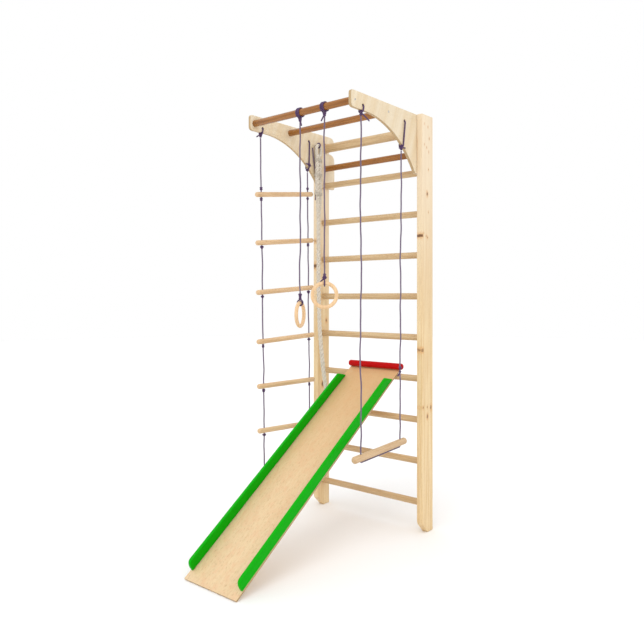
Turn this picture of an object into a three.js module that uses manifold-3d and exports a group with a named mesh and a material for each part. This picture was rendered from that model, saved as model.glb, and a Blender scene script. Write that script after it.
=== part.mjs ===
// Children's climbing wall with a slide: wall bars, a hooked-on pull-up frame, a rope ladder,
// gym rings, a trapeze, a climbing rope and a slide that hangs on one of the rungs.
// Millimetres, +Z up. The origin lies on the wall, at floor level, midway between the uprights.
// X runs along the wall and -Y points into the room.
import * as THREE from 'three';
import { mergeVertices } from 'three/addons/utils/BufferGeometryUtils.js';
import Module from 'manifold-3d';

// Clearances
const seatGap = 0.3;                 // between two pieces that touch
const ropeClearance = 0.6;           // round a rope in a drilled hole

// Wall bars
const overallWidth = 820;
const uprightHeight = 2400;
const uprightThickness = 38;
const uprightDepth = 114;
const wallGap = 40;                  // from the wall to the back of the uprights
const footCutHeight = 78;
const footDepth = 56;                // what is left of the upright's depth on the floor
const rungCount = 10;
const rungDiameter = 38;
const bottomRungHeight = 162;
const rungSocketDepth = 20;
const topRailHeight = 56;
const topRailDepth = 38;
const topRailDrop = 81.2;            // from the uprights' top to the top rail's centre
const topRailLift = 4;               // of the top rail above an even rung spacing
const roundSides = 16;

// Wall angles
const angleLeg = 40;
const angleThickness = 3;
const angleHeight = 40;
const angleReach = 60;               // along the upright's side

// Countersunk screws
const screwHeadRadius = 5;
const screwHeadDepth = 3;
const screwShankRadius = 2.4;
const barScrewLength = 58;
const angleScrewLength = 26;
const screwGap = 0.5;

// Pull-up frame
const plateThickness = 18;
const plateReach = 730;              // from the back of the uprights to the front end
const plateNoseHeight = 88;
const plateFootDrop = 14.6;          // from the second rung's centre to the plate's lower end
const plateTail = 33;                // how far the plate stands out behind the uprights
const archRadius = 575;
const archFlat = 605;                // where the arch runs into the straight lower edge
const noseRadius = 24;
const hookClearance = 1;             // between the hook and the rung it hangs on
const barDiameter = 38;
const frameBars = [                  // each bar's drop is measured from the uprights' top
  { name: 'front', reach: 697, height: uprightHeight - 47 },
  { name: 'middle', reach: 398, height: uprightHeight - 45 },
  { name: 'rear', reach: 57, height: uprightHeight - 213 },
];

// Ropes
const ropeDiameter = 8;
const ropeSides = 8;
const knotRadius = ropeDiameter * 1.3125;
const tieClearance = 1;              // between a tie and the plate's faces
const tieBend = plateThickness / 2 + tieClearance + ropeDiameter / 2;
// How far a tie's bend has fallen where it passes the plate's faces
const tieSag = tieBend - Math.sqrt(tieBend ** 2 - (plateThickness / 2) ** 2);
const tieHoleRadius = ropeDiameter / 2 + tieSag + 1.124;
const tieInHole = 2.6;               // how far the bend lies above the hole's centre
const tieBelow = tieSag + ropeDiameter + 0.724;   // how far a tie hangs under the plate's edge
const knotBelow = knotRadius * 1.443;             // from the plate's edge to the knot's centre
const pivotGap = 0.4;                // between a tie's knot and the round end of its rope

// Each tie: the hole in the plate, and where the rope leaves the plate's edge.
const ladderTies = [{ hole: 632, edge: 642 }, { hole: 222, edge: 228 }];
const trapezeTies = [{ hole: 628, edge: 637 }, { hole: 240, edge: 262 }];
const tieHoleHeight = uprightHeight - 63;
const noseHoleHeight = uprightHeight - 62;

// Rope ladder: the drop of its top rung, the height of its bottom one, and how far each hand-tied
// rung lies off an even spacing
const ladderRungLength = 500;
const ladderRungDiameter = 30;
const ladderFrontRope = { topDrop: 447, bottom: 290, wander: [0, -4, -16, -27, -12, 4, 0] };
const ladderRearRope = { topDrop: 397, bottom: 275, wander: [0, -4, -15, -27, -22, -8, 0] };
const ladderFrontFoot = { reach: 606, height: 225 };
const ladderRearFoot = { reach: 202, height: 215 };

// Trapeze
const trapezeLength = 475;
const trapezeDiameter = 37;
const trapezeFront = { reach: 638, height: 529 };
const trapezeRear = { reach: 276, height: 547 };
const trapezeOverhang = 61;          // of the bar past its front rope
const trapezeKnotHeight = 948;       // the join in the rear rope

// Gym rings
const ringOuterRadius = 74;
const ringTubeRadius = 10;
const rings = [
  { name: 'left', x: -2, centre: 1260, facing: 113 },
  { name: 'right', x: 170, centre: 1364, facing: 40 },
];
const ringLoopGap = 1.2;              // between a ring and the rope loop round it
const wrapWidth = 26;

// Climbing rope
const climbRopeDiameter = 27;
const climbRopeInset = 24.7;         // from the plate's inner face
const climbRopeReach = 159;
const eyeRopeRadius = 10;
const eyeHalfWidth = 20;
const eyeHalfHeight = 35;
const eyeTopHeight = uprightHeight - 82;
// Points down the climbing rope under its eye: how far each lies inwards of the eye, and its height
const climbRopeRoute = [
  [0, 2180], [0, 2080], [0, 1960], [0, 1820], [0, 1680], [0, 1540],
  [1, 1420], [3, 1320], [6, 1230], [11, 1140], [20, 1050], [31, 960], [44, 870],
  [58, 790], [72, 720], [85, 650], [94, 590], [99, 540],
];

// Slide
const slideCentre = 30.5;
const slideWidth = 365;
const boardThickness = 9;
const boardAboveRung = rungDiameter / 2 + 0.6;   // from the rung's centre to the board's underside
const boardBelowRung = 1568;         // from the rung to the board's foot, along the slope
const boardPastRung = 62;
const railThickness = 18;
const railHeight = 52;
const railFoot = 50;                 // board left bare below the rails
const railTop = 106;                 // from the rung to the rails' upper end, measured at their top
const railSlant = 45;                // how far further up the rails reach along the board
const railBevel = 40;
const gripDiameter = 38;
const gripLength = 397;
const gripBehindRung = 36;
const gripCentre = 39.5;
const cheekThickness = 18;
const cheekInset = 60;               // from the board's edge to the hook cheek
const cheekDepth = 58;
const cheekBehindRung = 58;

const wasm = await Module();
wasm.setup();

const product = new THREE.Group();
const backOfUprights = -wallGap;
const rungY = backOfUprights - uprightDepth / 2;
const uprightCentreX = (overallWidth - uprightThickness) / 2;
const innerFaceX = overallWidth / 2 - uprightThickness;
const plateInnerX = innerFaceX - seatGap - plateThickness;
const plateCentreX = plateInnerX + plateThickness / 2;
const topRailZ = uprightHeight - topRailDrop;
const rungPitch = (topRailZ - topRailLift - bottomRungHeight) / (rungCount - 1);
const rungZ = (row) => bottomRungHeight + (rungCount - row) * rungPitch;
const fromBack = (reach) => backOfUprights - reach;

const finishes = {
  pine: { color: 0xecd2a4, roughness: 0.6, metalness: 0 },
  rungWood: { color: 0xd2af82, roughness: 0.5, metalness: 0 },
  brownWood: { color: 0x986631, roughness: 0.45, metalness: 0 },
  plywood: { color: 0xf0e2c8, roughness: 0.55, metalness: 0 },
  slideWood: { color: 0xe5cba8, roughness: 0.4, metalness: 0 },
  green: { color: 0x0ab90a, roughness: 0.35, metalness: 0 },
  red: { color: 0xcb040a, roughness: 0.35, metalness: 0 },
  rope: { color: 0x73517a, roughness: 0.9, metalness: 0 },
  hemp: { color: 0xe6dccb, roughness: 0.95, metalness: 0 },
  zinc: { color: 0xb9bcc0, roughness: 0.4, metalness: 1 },
};

// ---- geometry helpers ----

function bare(geometry) {
  const copy = geometry.clone();
  copy.deleteAttribute('normal');
  copy.deleteAttribute('uv');
  return mergeVertices(copy, 1e-4);
}

function toSolid(geometry) {
  const merged = bare(geometry);
  return new wasm.Manifold(new wasm.Mesh({
    numProp: 3,
    vertProperties: new Float32Array(merged.attributes.position.array),
    triVerts: new Uint32Array(merged.index.array),
  }));
}

function fromSolid(solid) {
  const mesh = solid.getMesh();
  const geometry = new THREE.BufferGeometry();
  geometry.setAttribute('position', new THREE.BufferAttribute(new Float32Array(mesh.vertProperties), 3));
  geometry.setIndex(new THREE.BufferAttribute(new Uint32Array(mesh.triVerts), 1));
  geometry.computeVertexNormals();
  return geometry;
}

function cut(geometry, tools) {
  return fromSolid(tools.reduce((body, tool) => body.subtract(toSolid(tool)), toSolid(geometry)));
}

function join(geometries) {
  const [first, ...rest] = geometries.map(toSolid);
  return fromSolid(rest.reduce((body, more) => body.add(more), first));
}

// A round rod between two points, its sides turned so that rods on one axis have the same flats
function rod(start, end, radius, sides = roundSides) {
  const way = new THREE.Vector3().subVectors(end, start);
  const geometry = new THREE.CylinderGeometry(radius, radius, way.length(), sides);
  return along(geometry.translate(0, way.length() / 2, 0), start, way);
}

// Puts a shape made along +Y from the origin onto the line from start in the direction way
function along(geometry, start, way) {
  const turn = new THREE.Quaternion().setFromUnitVectors(new THREE.Vector3(0, 1, 0), way.clone().normalize());
  return geometry.applyQuaternion(turn).translate(start.x, start.y, start.z);
}

// A turned piece: its profile is [radius, distance along the axis], from end to end
function turned(profile, start, way, sides = roundSides) {
  const points = profile.map(([radius, at]) => new THREE.Vector2(radius, at));
  return along(new THREE.LatheGeometry(points, sides), start, way);
}

// An outline drawn in Y and Z, given thickness along X from x
function plateAcross(shape, x, thickness, curveSteps = 8) {
  const geometry = new THREE.ExtrudeGeometry(shape, {
    depth: thickness, bevelEnabled: false, steps: 1, curveSegments: curveSteps,
  });
  const axes = new THREE.Matrix4().makeBasis(
    new THREE.Vector3(0, 1, 0), new THREE.Vector3(0, 0, 1), new THREE.Vector3(1, 0, 0));
  return geometry.applyMatrix4(axes).translate(x, 0, 0);
}

function block(lowX, highX, lowY, highY, lowZ, highZ) {
  const geometry = new THREE.BoxGeometry(highX - lowX, highY - lowY, highZ - lowZ);
  return geometry.translate((lowX + highX) / 2, (lowY + highY) / 2, (lowZ + highZ) / 2);
}

function point(x, y, z) {
  return new THREE.Vector3(x, y, z);
}

function addPiece(name, geometry, finish) {
  const mesh = new THREE.Mesh(geometry, new THREE.MeshStandardMaterial(finishes[finish]));
  mesh.name = name;
  product.add(mesh);
}

// ---- wall bars ----

function rungAxis(row) {
  return [point(-innerFaceX, rungY, rungZ(row)), point(innerFaceX, rungY, rungZ(row))];
}

function topRailOutline(grow) {
  const radius = topRailDepth / 2 + grow;
  const straight = (topRailHeight - topRailDepth) / 2;
  const shape = new THREE.Shape();
  shape.absarc(rungY, topRailZ + straight, radius, 0, Math.PI, false);
  shape.absarc(rungY, topRailZ - straight, radius, Math.PI, 2 * Math.PI, false);
  shape.closePath();
  return shape;
}

function upright(side) {
  const front = backOfUprights - uprightDepth;
  const outline = new THREE.Shape();
  outline.moveTo(backOfUprights, 0);
  outline.lineTo(backOfUprights, uprightHeight);
  outline.lineTo(front, uprightHeight);
  outline.lineTo(front, footCutHeight);
  outline.quadraticCurveTo(front, footCutHeight - 22, front + 16, footCutHeight - 36);
  outline.lineTo(backOfUprights - footDepth, 0);
  outline.closePath();
  const lowX = side * uprightCentreX - uprightThickness / 2;
  const board = plateAcross(outline, lowX, uprightThickness, 5);
  const inner = side * innerFaceX;
  const outwards = side * (rungSocketDepth + seatGap);
  const sockets = [];
  for (let row = 2; row <= rungCount; row += 1) {
    const start = point(inner - side * 5, rungY, rungZ(row));
    sockets.push(rod(start, point(inner + outwards, rungY, rungZ(row)), rungDiameter / 2 + seatGap));
  }
  const railSocket = plateAcross(topRailOutline(seatGap), -5, rungSocketDepth + seatGap + 5, 8);
  if (side < 0) railSocket.translate(-rungSocketDepth - seatGap + 5, 0, 0);
  sockets.push(railSocket.translate(inner, 0, 0));
  return cut(board, [...sockets, ...angleScrewHoles(side)]);
}

function rung(row) {
  const [left, right] = rungAxis(row);
  left.x -= rungSocketDepth;
  right.x += rungSocketDepth;
  return rod(left, right, rungDiameter / 2);
}

function topRail() {
  const half = innerFaceX + rungSocketDepth;
  return plateAcross(topRailOutline(0), -half, 2 * half);
}

// ---- wall angles and their screws ----

// The angles sit on the left-hand side face of each upright.
const angleHeights = [(rungZ(10) + rungZ(9)) / 2, (rungZ(3) + rungZ(2)) / 2];
const angleFaceX = (side) => side * uprightCentreX - uprightThickness / 2 - seatGap;
const angleScrewY = backOfUprights - angleReach / 2;

function angleScrewHoles(side) {
  return angleHeights.map((height) => {
    const start = point(angleFaceX(side) - 1, angleScrewY, height);
    const end = point(angleFaceX(side) + angleScrewLength, angleScrewY, height);
    return rod(start, end, screwShankRadius + seatGap, 10);
  });
}

function wallAngle(side, height) {
  const faceX = angleFaceX(side);
  const low = height - angleHeight / 2;
  const high = height + angleHeight / 2;
  const sideLeg = block(faceX - angleThickness, faceX, backOfUprights - angleReach, 0, low, high);
  const wallLeg = block(faceX - angleLeg, faceX, -angleThickness, 0, low, high);
  const screwHole = rod(
    point(faceX - 10, angleScrewY, height), point(faceX + 5, angleScrewY, height),
    screwShankRadius + seatGap, 10);
  const wallHole = rod(
    point(faceX - angleLeg / 2 - 3, -10, height), point(faceX - angleLeg / 2 - 3, 5, height), 4, 10);
  return cut(join([sideLeg, wallLeg]), [screwHole, wallHole]);
}

// A countersunk screw from its head's face to its point, along way
function screw(start, way, length) {
  return turned([
    [0, 0], [screwHeadRadius, 0], [screwShankRadius, screwHeadDepth],
    [screwShankRadius, length - 6], [0, length],
  ], start, way, 10);
}

function angleScrew(side, height) {
  const headFace = angleFaceX(side) - angleThickness - seatGap - screwHeadDepth;
  return screw(point(headFace, angleScrewY, height), point(1, 0, 0), angleScrewLength);
}

// ---- pull-up frame ----

function archHeight(reach) {
  const drop = Math.sqrt(archRadius ** 2 - (archFlat - reach) ** 2);
  return uprightHeight - plateNoseHeight - archRadius + drop;
}

function plateOutline() {
  const top = uprightHeight;
  const nose = fromBack(plateReach);
  const tail = backOfUprights + plateTail;
  const under = top - plateNoseHeight;
  const plateFoot = rungZ(2) - plateFootDrop;
  const railHalf = topRailHeight / 2 - topRailDepth / 2;
  const railHook = topRailDepth / 2 + hookClearance;
  const rungHook = rungDiameter / 2 + hookClearance;
  const archY = fromBack(archFlat);
  const archZ = under - archRadius;
  const archEnd = Math.asin((plateFoot - archZ) / archRadius);
  const secondRung = rungZ(2);
  const shape = new THREE.Shape();
  shape.moveTo(nose + noseRadius, under);
  shape.lineTo(archY, under);
  shape.absarc(archY, archZ, archRadius, Math.PI / 2, archEnd, true);
  shape.lineTo(rungY - rungHook, plateFoot);
  shape.lineTo(rungY - rungHook, secondRung);
  shape.absarc(rungY, secondRung, rungHook, Math.PI, 0, true);
  shape.lineTo(rungY + rungHook, plateFoot);
  shape.lineTo(tail - 12, plateFoot);
  shape.quadraticCurveTo(tail, plateFoot, tail, plateFoot + 12);
  shape.lineTo(tail, topRailZ - 78);
  shape.quadraticCurveTo(tail, topRailZ - railHalf - railHook, rungY + 33, topRailZ - railHalf - railHook);
  shape.lineTo(rungY, topRailZ - railHalf - railHook);
  shape.absarc(rungY, topRailZ - railHalf, railHook, -Math.PI / 2, -Math.PI, true);
  shape.lineTo(rungY - railHook, topRailZ + railHalf);
  shape.absarc(rungY, topRailZ + railHalf, railHook, Math.PI, Math.PI / 2, true);
  shape.lineTo(tail - 4, topRailZ + railHalf + railHook);
  shape.quadraticCurveTo(tail - 2, top - 14, tail - 26, top - 4);
  shape.quadraticCurveTo(tail - 38, top, tail - 52, top);
  shape.lineTo(nose + noseRadius * 0.8, top);
  shape.quadraticCurveTo(nose, top, nose, top - noseRadius * 0.8);
  shape.lineTo(nose, under + noseRadius);
  shape.quadraticCurveTo(nose, under, nose + noseRadius, under);
  return shape;
}

function tieHoleZ(tie) {
  return tie.hole > archFlat ? noseHoleHeight : tieHoleHeight;
}

function roundHole(reach, height, radius) {
  const hole = new THREE.Path();
  hole.absarc(fromBack(reach), height, radius, 0, 2 * Math.PI, true);
  return hole;
}

function framePlate(side) {
  const shape = plateOutline();
  const ties = side < 0 ? ladderTies : trapezeTies;
  for (const tie of ties) {
    shape.holes.push(roundHole(tie.hole, tieHoleZ(tie), tieHoleRadius));
  }
  for (const bar of frameBars) {
    shape.holes.push(roundHole(bar.reach, bar.height, screwShankRadius + seatGap));
  }
  if (side < 0) {
    shape.holes.push(roundHole(climbRopeReach, eyeTopHeight, ropeDiameter / 2 + ropeClearance));
  }
  const board = plateAcross(shape, side * plateCentreX - plateThickness / 2, plateThickness, 7);
  const headFace = side * (plateInnerX + plateThickness - seatGap);
  const inwards = point(-side, 0, 0);
  const sinks = frameBars.map((bar) => turned([
    [0, -2], [screwHeadRadius + screwGap, -2], [screwHeadRadius + screwGap, 0],
    [screwShankRadius + screwGap, screwHeadDepth + screwGap], [0, screwHeadDepth + screwGap],
  ], point(headFace, fromBack(bar.reach), bar.height), inwards, 10));
  return cut(board, sinks);
}

function frameBar(bar) {
  const half = plateInnerX - seatGap;
  const y = fromBack(bar.reach);
  const body = rod(point(-half, y, bar.height), point(half, y, bar.height), barDiameter / 2);
  const bores = [-1, 1].map((side) => rod(
    point(side * (half + 1), y, bar.height),
    point(side * (plateInnerX + plateThickness - barScrewLength - 1), y, bar.height),
    screwShankRadius + seatGap, 10));
  return cut(body, bores);
}

function barScrew(bar, side) {
  const head = side * (plateInnerX + plateThickness - seatGap);
  return screw(point(head, fromBack(bar.reach), bar.height), point(-side, 0, 0), barScrewLength);
}

// ---- ropes ----

// A rope ring pulled long: the two halves of a torus moved apart by stretch each way
function longRing(bend, ropeRadius, stretch, ropeSidesHere = ropeSides, steps = 16) {
  const geometry = new THREE.TorusGeometry(bend, ropeRadius, ropeSidesHere, steps);
  const at = geometry.attributes.position;
  for (let i = 0; i < at.count; i += 1) {
    const y = at.getY(i);
    at.setY(i, y + Math.sign(Math.round(y * 1000)) * stretch);
  }
  return geometry;
}

// Where a tie leaves the plate's lower edge
function tieFoot(tie, side) {
  const edge = tie.edge > archFlat ? uprightHeight - plateNoseHeight : archHeight(tie.edge);
  return point(side * plateCentreX, fromBack(tie.edge), edge);
}

// The swing axis runs through the round top ends of a pair of ropes, just under their ties' knots.
function tiePivot(tie, side) {
  const drop = knotBelow + knotRadius + pivotGap + ropeDiameter / 2;
  return tieFoot(tie, side).add(point(0, 0, -drop));
}

// A rope tied through the plate: down both faces and knotted under the edge
function plateTie(tie, side) {
  const foot = tieFoot(tie, side);
  const top = point(foot.x, fromBack(tie.hole), tieHoleZ(tie) + tieInHole);
  const bottom = point(foot.x, foot.y, foot.z - tieBelow);
  const lean = Math.atan2(top.y - bottom.y, top.z - bottom.z);
  const span = top.distanceTo(bottom);
  const ring = longRing(tieBend, ropeDiameter / 2, span / 2 - tieBend);
  ring.rotateX(Math.PI / 2 - lean);
  ring.translate(foot.x, (top.y + bottom.y) / 2, (top.z + bottom.z) / 2);
  const knot = new THREE.SphereGeometry(knotRadius, 8, 5).rotateX(Math.PI / 2);
  return join([ring, knot.translate(foot.x, foot.y, foot.z - knotBelow)]);
}

// A rope down a straight line from its knot, thicker at each knot on the way
function knottedRope(start, end, knots) {
  const way = new THREE.Vector3().subVectors(end, start);
  const length = way.length();
  const r = ropeDiameter / 2;
  const profile = [[0, -r], [r * 0.7, -r * 0.7], [r, 0]];
  for (const at of knots) {
    profile.push([r, at - knotRadius], [knotRadius, at - 4], [knotRadius, at + 4], [r, at + knotRadius]);
  }
  profile.push([r, length], [0, length]);
  return turned(profile, start, way, ropeSides);
}

function onLine(start, end, height) {
  return start.clone().lerp(end, (start.z - height) / (start.z - end.z));
}

// ---- rope ladder ----

const ladderSide = -1;

// The rungs' heights on one rope, from the top rung down
function ladderHeights(rope) {
  const top = uprightHeight - rope.topDrop;
  const step = (top - rope.bottom) / (rope.wander.length - 1);
  return rope.wander.map((off, index) => top - index * step + off);
}

const ladderFrontHeights = ladderHeights(ladderFrontRope);
const ladderRearHeights = ladderHeights(ladderRearRope);

function ladderLine(front) {
  const tie = front ? ladderTies[0] : ladderTies[1];
  const foot = front ? ladderFrontFoot : ladderRearFoot;
  const start = tiePivot(tie, ladderSide);
  return [start, point(start.x, fromBack(foot.reach), foot.height)];
}

function ladderRungEnds(index) {
  const [frontStart, frontEnd] = ladderLine(true);
  const [rearStart, rearEnd] = ladderLine(false);
  return [
    onLine(frontStart, frontEnd, ladderFrontHeights[index]),
    onLine(rearStart, rearEnd, ladderRearHeights[index]),
  ];
}

// A bar with round ends, drilled for two ropes
function drilledBar(start, way, length, diameter, ropes) {
  const r = diameter / 2;
  const body = turned([
    [0, 0], [r * 0.62, r * 0.2], [r, r * 0.85], [r, length - r * 0.85], [r * 0.62, length - r * 0.2], [0, length],
  ], start, way, 12);
  const holes = ropes.map(([above, below]) => rod(above, below, ropeDiameter / 2 + ropeClearance, ropeSides));
  return cut(body, holes);
}

function aroundHeight([start, end], height, half) {
  return [onLine(start, end, height + half), onLine(start, end, height - half)];
}

function ladderRung(index) {
  const [front, rear] = ladderRungEnds(index);
  const way = new THREE.Vector3().subVectors(rear, front).normalize();
  const middle = front.clone().add(rear).multiplyScalar(0.5);
  const start = middle.addScaledVector(way, -ladderRungLength / 2);
  return drilledBar(start, way, ladderRungLength, ladderRungDiameter, [
    aroundHeight(ladderLine(true), ladderFrontHeights[index], ladderRungDiameter),
    aroundHeight(ladderLine(false), ladderRearHeights[index], ladderRungDiameter),
  ]);
}

function ladderRope(front) {
  const [start, end] = ladderLine(front);
  const heights = front ? ladderFrontHeights : ladderRearHeights;
  const slope = start.distanceTo(end) / (start.z - end.z);
  const under = ladderRungDiameter / 2 + knotRadius + 1.5;
  const knots = heights.map((height) => (start.z - height + under) * slope);
  const over = (start.z - heights[0] - under - 8) * slope;
  return knottedRope(start, end, [over, ...knots]);
}

// ---- trapeze ----

const trapezeSide = 1;

// The line of one leg of the rope, from its tie's knot to the middle of the bar
function trapezeLine(front) {
  const tie = front ? trapezeTies[0] : trapezeTies[1];
  const hold = front ? trapezeFront : trapezeRear;
  const start = tiePivot(tie, trapezeSide);
  return [start, point(start.x, fromBack(hold.reach), hold.height)];
}

function trapezeWay() {
  const front = trapezeLine(true)[1];
  const rear = trapezeLine(false)[1];
  return rear.sub(front).normalize();
}

// Where a leg comes out of its hole and turns along the bar's underside
function trapezeTurn(front) {
  const [start, through] = trapezeLine(front);
  const down = new THREE.Vector3().subVectors(through, start).normalize();
  const under = trapezeDiameter / 2 + 2 * seatGap + ropeDiameter / 2;
  const slant = new THREE.Vector3().crossVectors(down, trapezeWay()).length();
  return through.addScaledVector(down, under / slant);
}

// One rope, down to the bar, along its underside and up again, with the knot that joins its ends
function trapezeRope() {
  const [frontTurn, rearTurn] = [trapezeTurn(true), trapezeTurn(false)];
  const frontStart = trapezeLine(true)[0];
  const rearStart = trapezeLine(false)[0];
  const slope = rearStart.distanceTo(rearTurn) / (rearStart.z - rearTurn.z);
  const knot = (rearStart.z - trapezeKnotHeight) * slope;
  const corners = [frontTurn, rearTurn].map((at) => (
    new THREE.SphereGeometry(ropeDiameter / 2, ropeSides, 6).translate(at.x, at.y, at.z)));
  return join([
    knottedRope(frontStart, frontTurn, []), knottedRope(rearStart, rearTurn, [knot]),
    rod(frontTurn, rearTurn, ropeDiameter / 2, ropeSides), ...corners,
  ]);
}

function trapezeBar() {
  const way = trapezeWay();
  const start = trapezeLine(true)[1].addScaledVector(way, -trapezeOverhang);
  return drilledBar(start, way, trapezeLength, trapezeDiameter, [
    aroundHeight(trapezeLine(true), trapezeFront.height, trapezeDiameter),
    aroundHeight(trapezeLine(false), trapezeRear.height, trapezeDiameter),
  ]);
}

// ---- gym rings ----

const hangBar = frameBars[0];
const ringCentreRadius = ringOuterRadius - ringTubeRadius;
const loopBend = ringTubeRadius + ringLoopGap + ropeDiameter / 2;

function gymRing(ring) {
  const geometry = new THREE.TorusGeometry(ringCentreRadius, ringTubeRadius, 8, 26);
  const facing = THREE.MathUtils.degToRad(ring.facing);
  return geometry.rotateX(Math.PI / 2).rotateZ(facing).translate(ring.x, fromBack(hangBar.reach), ring.centre);
}

// The rope wound on the bar, the long drop, and the loop round the ring under its knot
function ringRope(ring) {
  const y = fromBack(hangBar.reach);
  const innerRadius = barDiameter / 2 + seatGap + 0.2;
  const windRadius = innerRadius + ropeDiameter - 1;
  const wound = turned([
    [innerRadius, 0], [windRadius, 0], [windRadius, wrapWidth], [innerRadius, wrapWidth], [innerRadius, 0],
  ], point(ring.x - wrapWidth / 2, y, hangBar.height), point(1, 0, 0));
  const ringTop = ring.centre + ringCentreRadius;
  const facing = THREE.MathUtils.degToRad(ring.facing);
  const loop = new THREE.TorusGeometry(loopBend, ropeDiameter / 2, ropeSides, 12);
  loop.rotateY(Math.PI / 2).rotateZ(facing).translate(ring.x, y, ringTop);
  const loopTop = ringTop + loopBend;
  const dropTop = point(ring.x, y, hangBar.height - innerRadius - ropeDiameter / 2);
  const drop = rod(dropTop, point(ring.x, y, loopTop), ropeDiameter / 2, ropeSides);
  const knotSize = knotRadius + 2;
  const knot = new THREE.SphereGeometry(knotSize, 8, 5).rotateX(Math.PI / 2).scale(1, 1, 1.5);
  knot.translate(ring.x, y, loopTop + knotSize * 1.3);
  const hitch = new THREE.SphereGeometry(knotRadius, 8, 5).rotateX(Math.PI / 2);
  hitch.translate(ring.x, y, hangBar.height - windRadius - knotRadius * 0.6);
  return join([wound, hitch, drop, knot, loop]);
}

// ---- climbing rope ----

const climbRopeX = climbRopeInset - plateInnerX;

function climbingRope() {
  const y = fromBack(climbRopeReach);
  const eye = longRing(eyeHalfWidth, eyeRopeRadius, eyeHalfHeight - eyeHalfWidth, 8, 16);
  eye.rotateX(Math.PI / 2).rotateZ(Math.PI / 2).translate(climbRopeX, y, eyeTopHeight - eyeHalfHeight);
  const eyeFoot = eyeTopHeight - 2 * eyeHalfHeight + eyeRopeRadius + 1;
  const lower = climbRopeRoute.filter(([, z]) => z < eyeFoot - climbRopeDiameter);
  const points = [[0, eyeFoot], ...lower].map(([inwards, z]) => point(climbRopeX + inwards, y, z));
  const section = new THREE.Shape();
  section.absarc(0, 0, climbRopeDiameter / 2, 0, 2 * Math.PI, false);
  const fall = new THREE.ExtrudeGeometry(section, {
    steps: 20, curveSegments: 5, extrudePath: new THREE.CatmullRomCurve3(points),
  });
  return join([eye, fall]);
}

// A short rope through the plate's hole: knotted outside and looped round the eye inside
function climbingRopeTie() {
  const y = fromBack(climbRopeReach);
  const bend = eyeRopeRadius + seatGap * 2 + ropeDiameter / 2;
  const loop = new THREE.TorusGeometry(bend, ropeDiameter / 2, ropeSides, 12);
  loop.rotateX(Math.PI / 2).translate(climbRopeX, y, eyeTopHeight);
  const outside = -(plateInnerX + plateThickness);
  const through = rod(
    point(climbRopeX - bend, y, eyeTopHeight), point(outside - 6, y, eyeTopHeight),
    ropeDiameter / 2, ropeSides);
  const stopper = new THREE.SphereGeometry(knotRadius, 8, 5);
  stopper.translate(outside - knotRadius - seatGap, y, eyeTopHeight);
  return join([loop, through, stopper]);
}

// ---- slide ----

const slideRow = 7;
const slidePivotZ = rungZ(slideRow);
const slideSlope = Math.asin(slidePivotZ / Math.hypot(boardBelowRung, boardAboveRung))
  + Math.atan2(boardAboveRung, boardBelowRung);

// Turns an outline drawn down the slope (x) and off the board (y) into the row's Y and Z
function onSlope(down, off) {
  const y = rungY - down * Math.cos(slideSlope) - off * Math.sin(slideSlope);
  const z = slidePivotZ - down * Math.sin(slideSlope) + off * Math.cos(slideSlope);
  return [y, z];
}

function slopeOutline(points) {
  return new THREE.Shape(points.map(([down, off]) => new THREE.Vector2(...onSlope(down, off))).reverse());
}

function slideBoard() {
  const under = boardAboveRung;
  const over = boardAboveRung + boardThickness;
  const outline = slopeOutline([
    [-boardPastRung, under], [boardBelowRung, under], [boardBelowRung, over], [-boardPastRung, over],
  ]);
  return plateAcross(outline, slideCentre - slideWidth / 2, slideWidth);
}

function slideRail(side) {
  const base = boardAboveRung + boardThickness + seatGap;
  const foot = boardBelowRung - railFoot;
  const outline = slopeOutline([
    [railTop - railSlant, base], [foot, base], [foot, base + railHeight - railBevel],
    [foot - 4, base + railHeight - railBevel * 0.6], [foot - 14, base + railHeight - 9],
    [foot - 28, base + railHeight], [railTop + 8, base + railHeight], [railTop, base + railHeight - 8],
  ]);
  const outer = slideCentre + side * (slideWidth / 2);
  return plateAcross(outline, side < 0 ? outer : outer - railThickness, railThickness);
}

function slideGrip() {
  const r = gripDiameter / 2;
  const seat = boardAboveRung + boardThickness + seatGap + r;
  const [y, z] = onSlope(-gripBehindRung, seat);
  return turned([
    [0, 0], [r * 0.7, r * 0.15], [r, r * 0.7], [r, gripLength - r * 0.7], [r * 0.7, gripLength - r * 0.15],
    [0, gripLength],
  ], point(gripCentre - gripLength / 2, y, z), point(1, 0, 0));
}

// A plywood cheek under the board that grips the rung from behind
function slideCheek(side) {
  const top = boardAboveRung - seatGap;
  const bottom = boardAboveRung - cheekDepth;
  const grip = rungDiameter / 2 + seatGap;
  const upperAngle = THREE.MathUtils.degToRad(120);
  const lowerAngle = THREE.MathUtils.degToRad(225);
  const hollow = [];
  for (let step = 0; step <= 6; step += 1) {
    const angle = lowerAngle + (upperAngle - lowerAngle) * (step / 6);
    hollow.push([grip * Math.cos(angle), grip * Math.sin(angle)]);
  }
  const outline = slopeOutline([
    [-cheekBehindRung, top], [-cheekBehindRung, bottom + 14], [-cheekBehindRung + 8, bottom],
    [-grip, bottom], ...hollow, [grip * Math.cos(upperAngle), top],
  ]);
  const centre = slideCentre + side * (slideWidth / 2 - cheekInset);
  return plateAcross(outline, centre - cheekThickness / 2, cheekThickness);
}

// ---- the whole product ----

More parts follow.
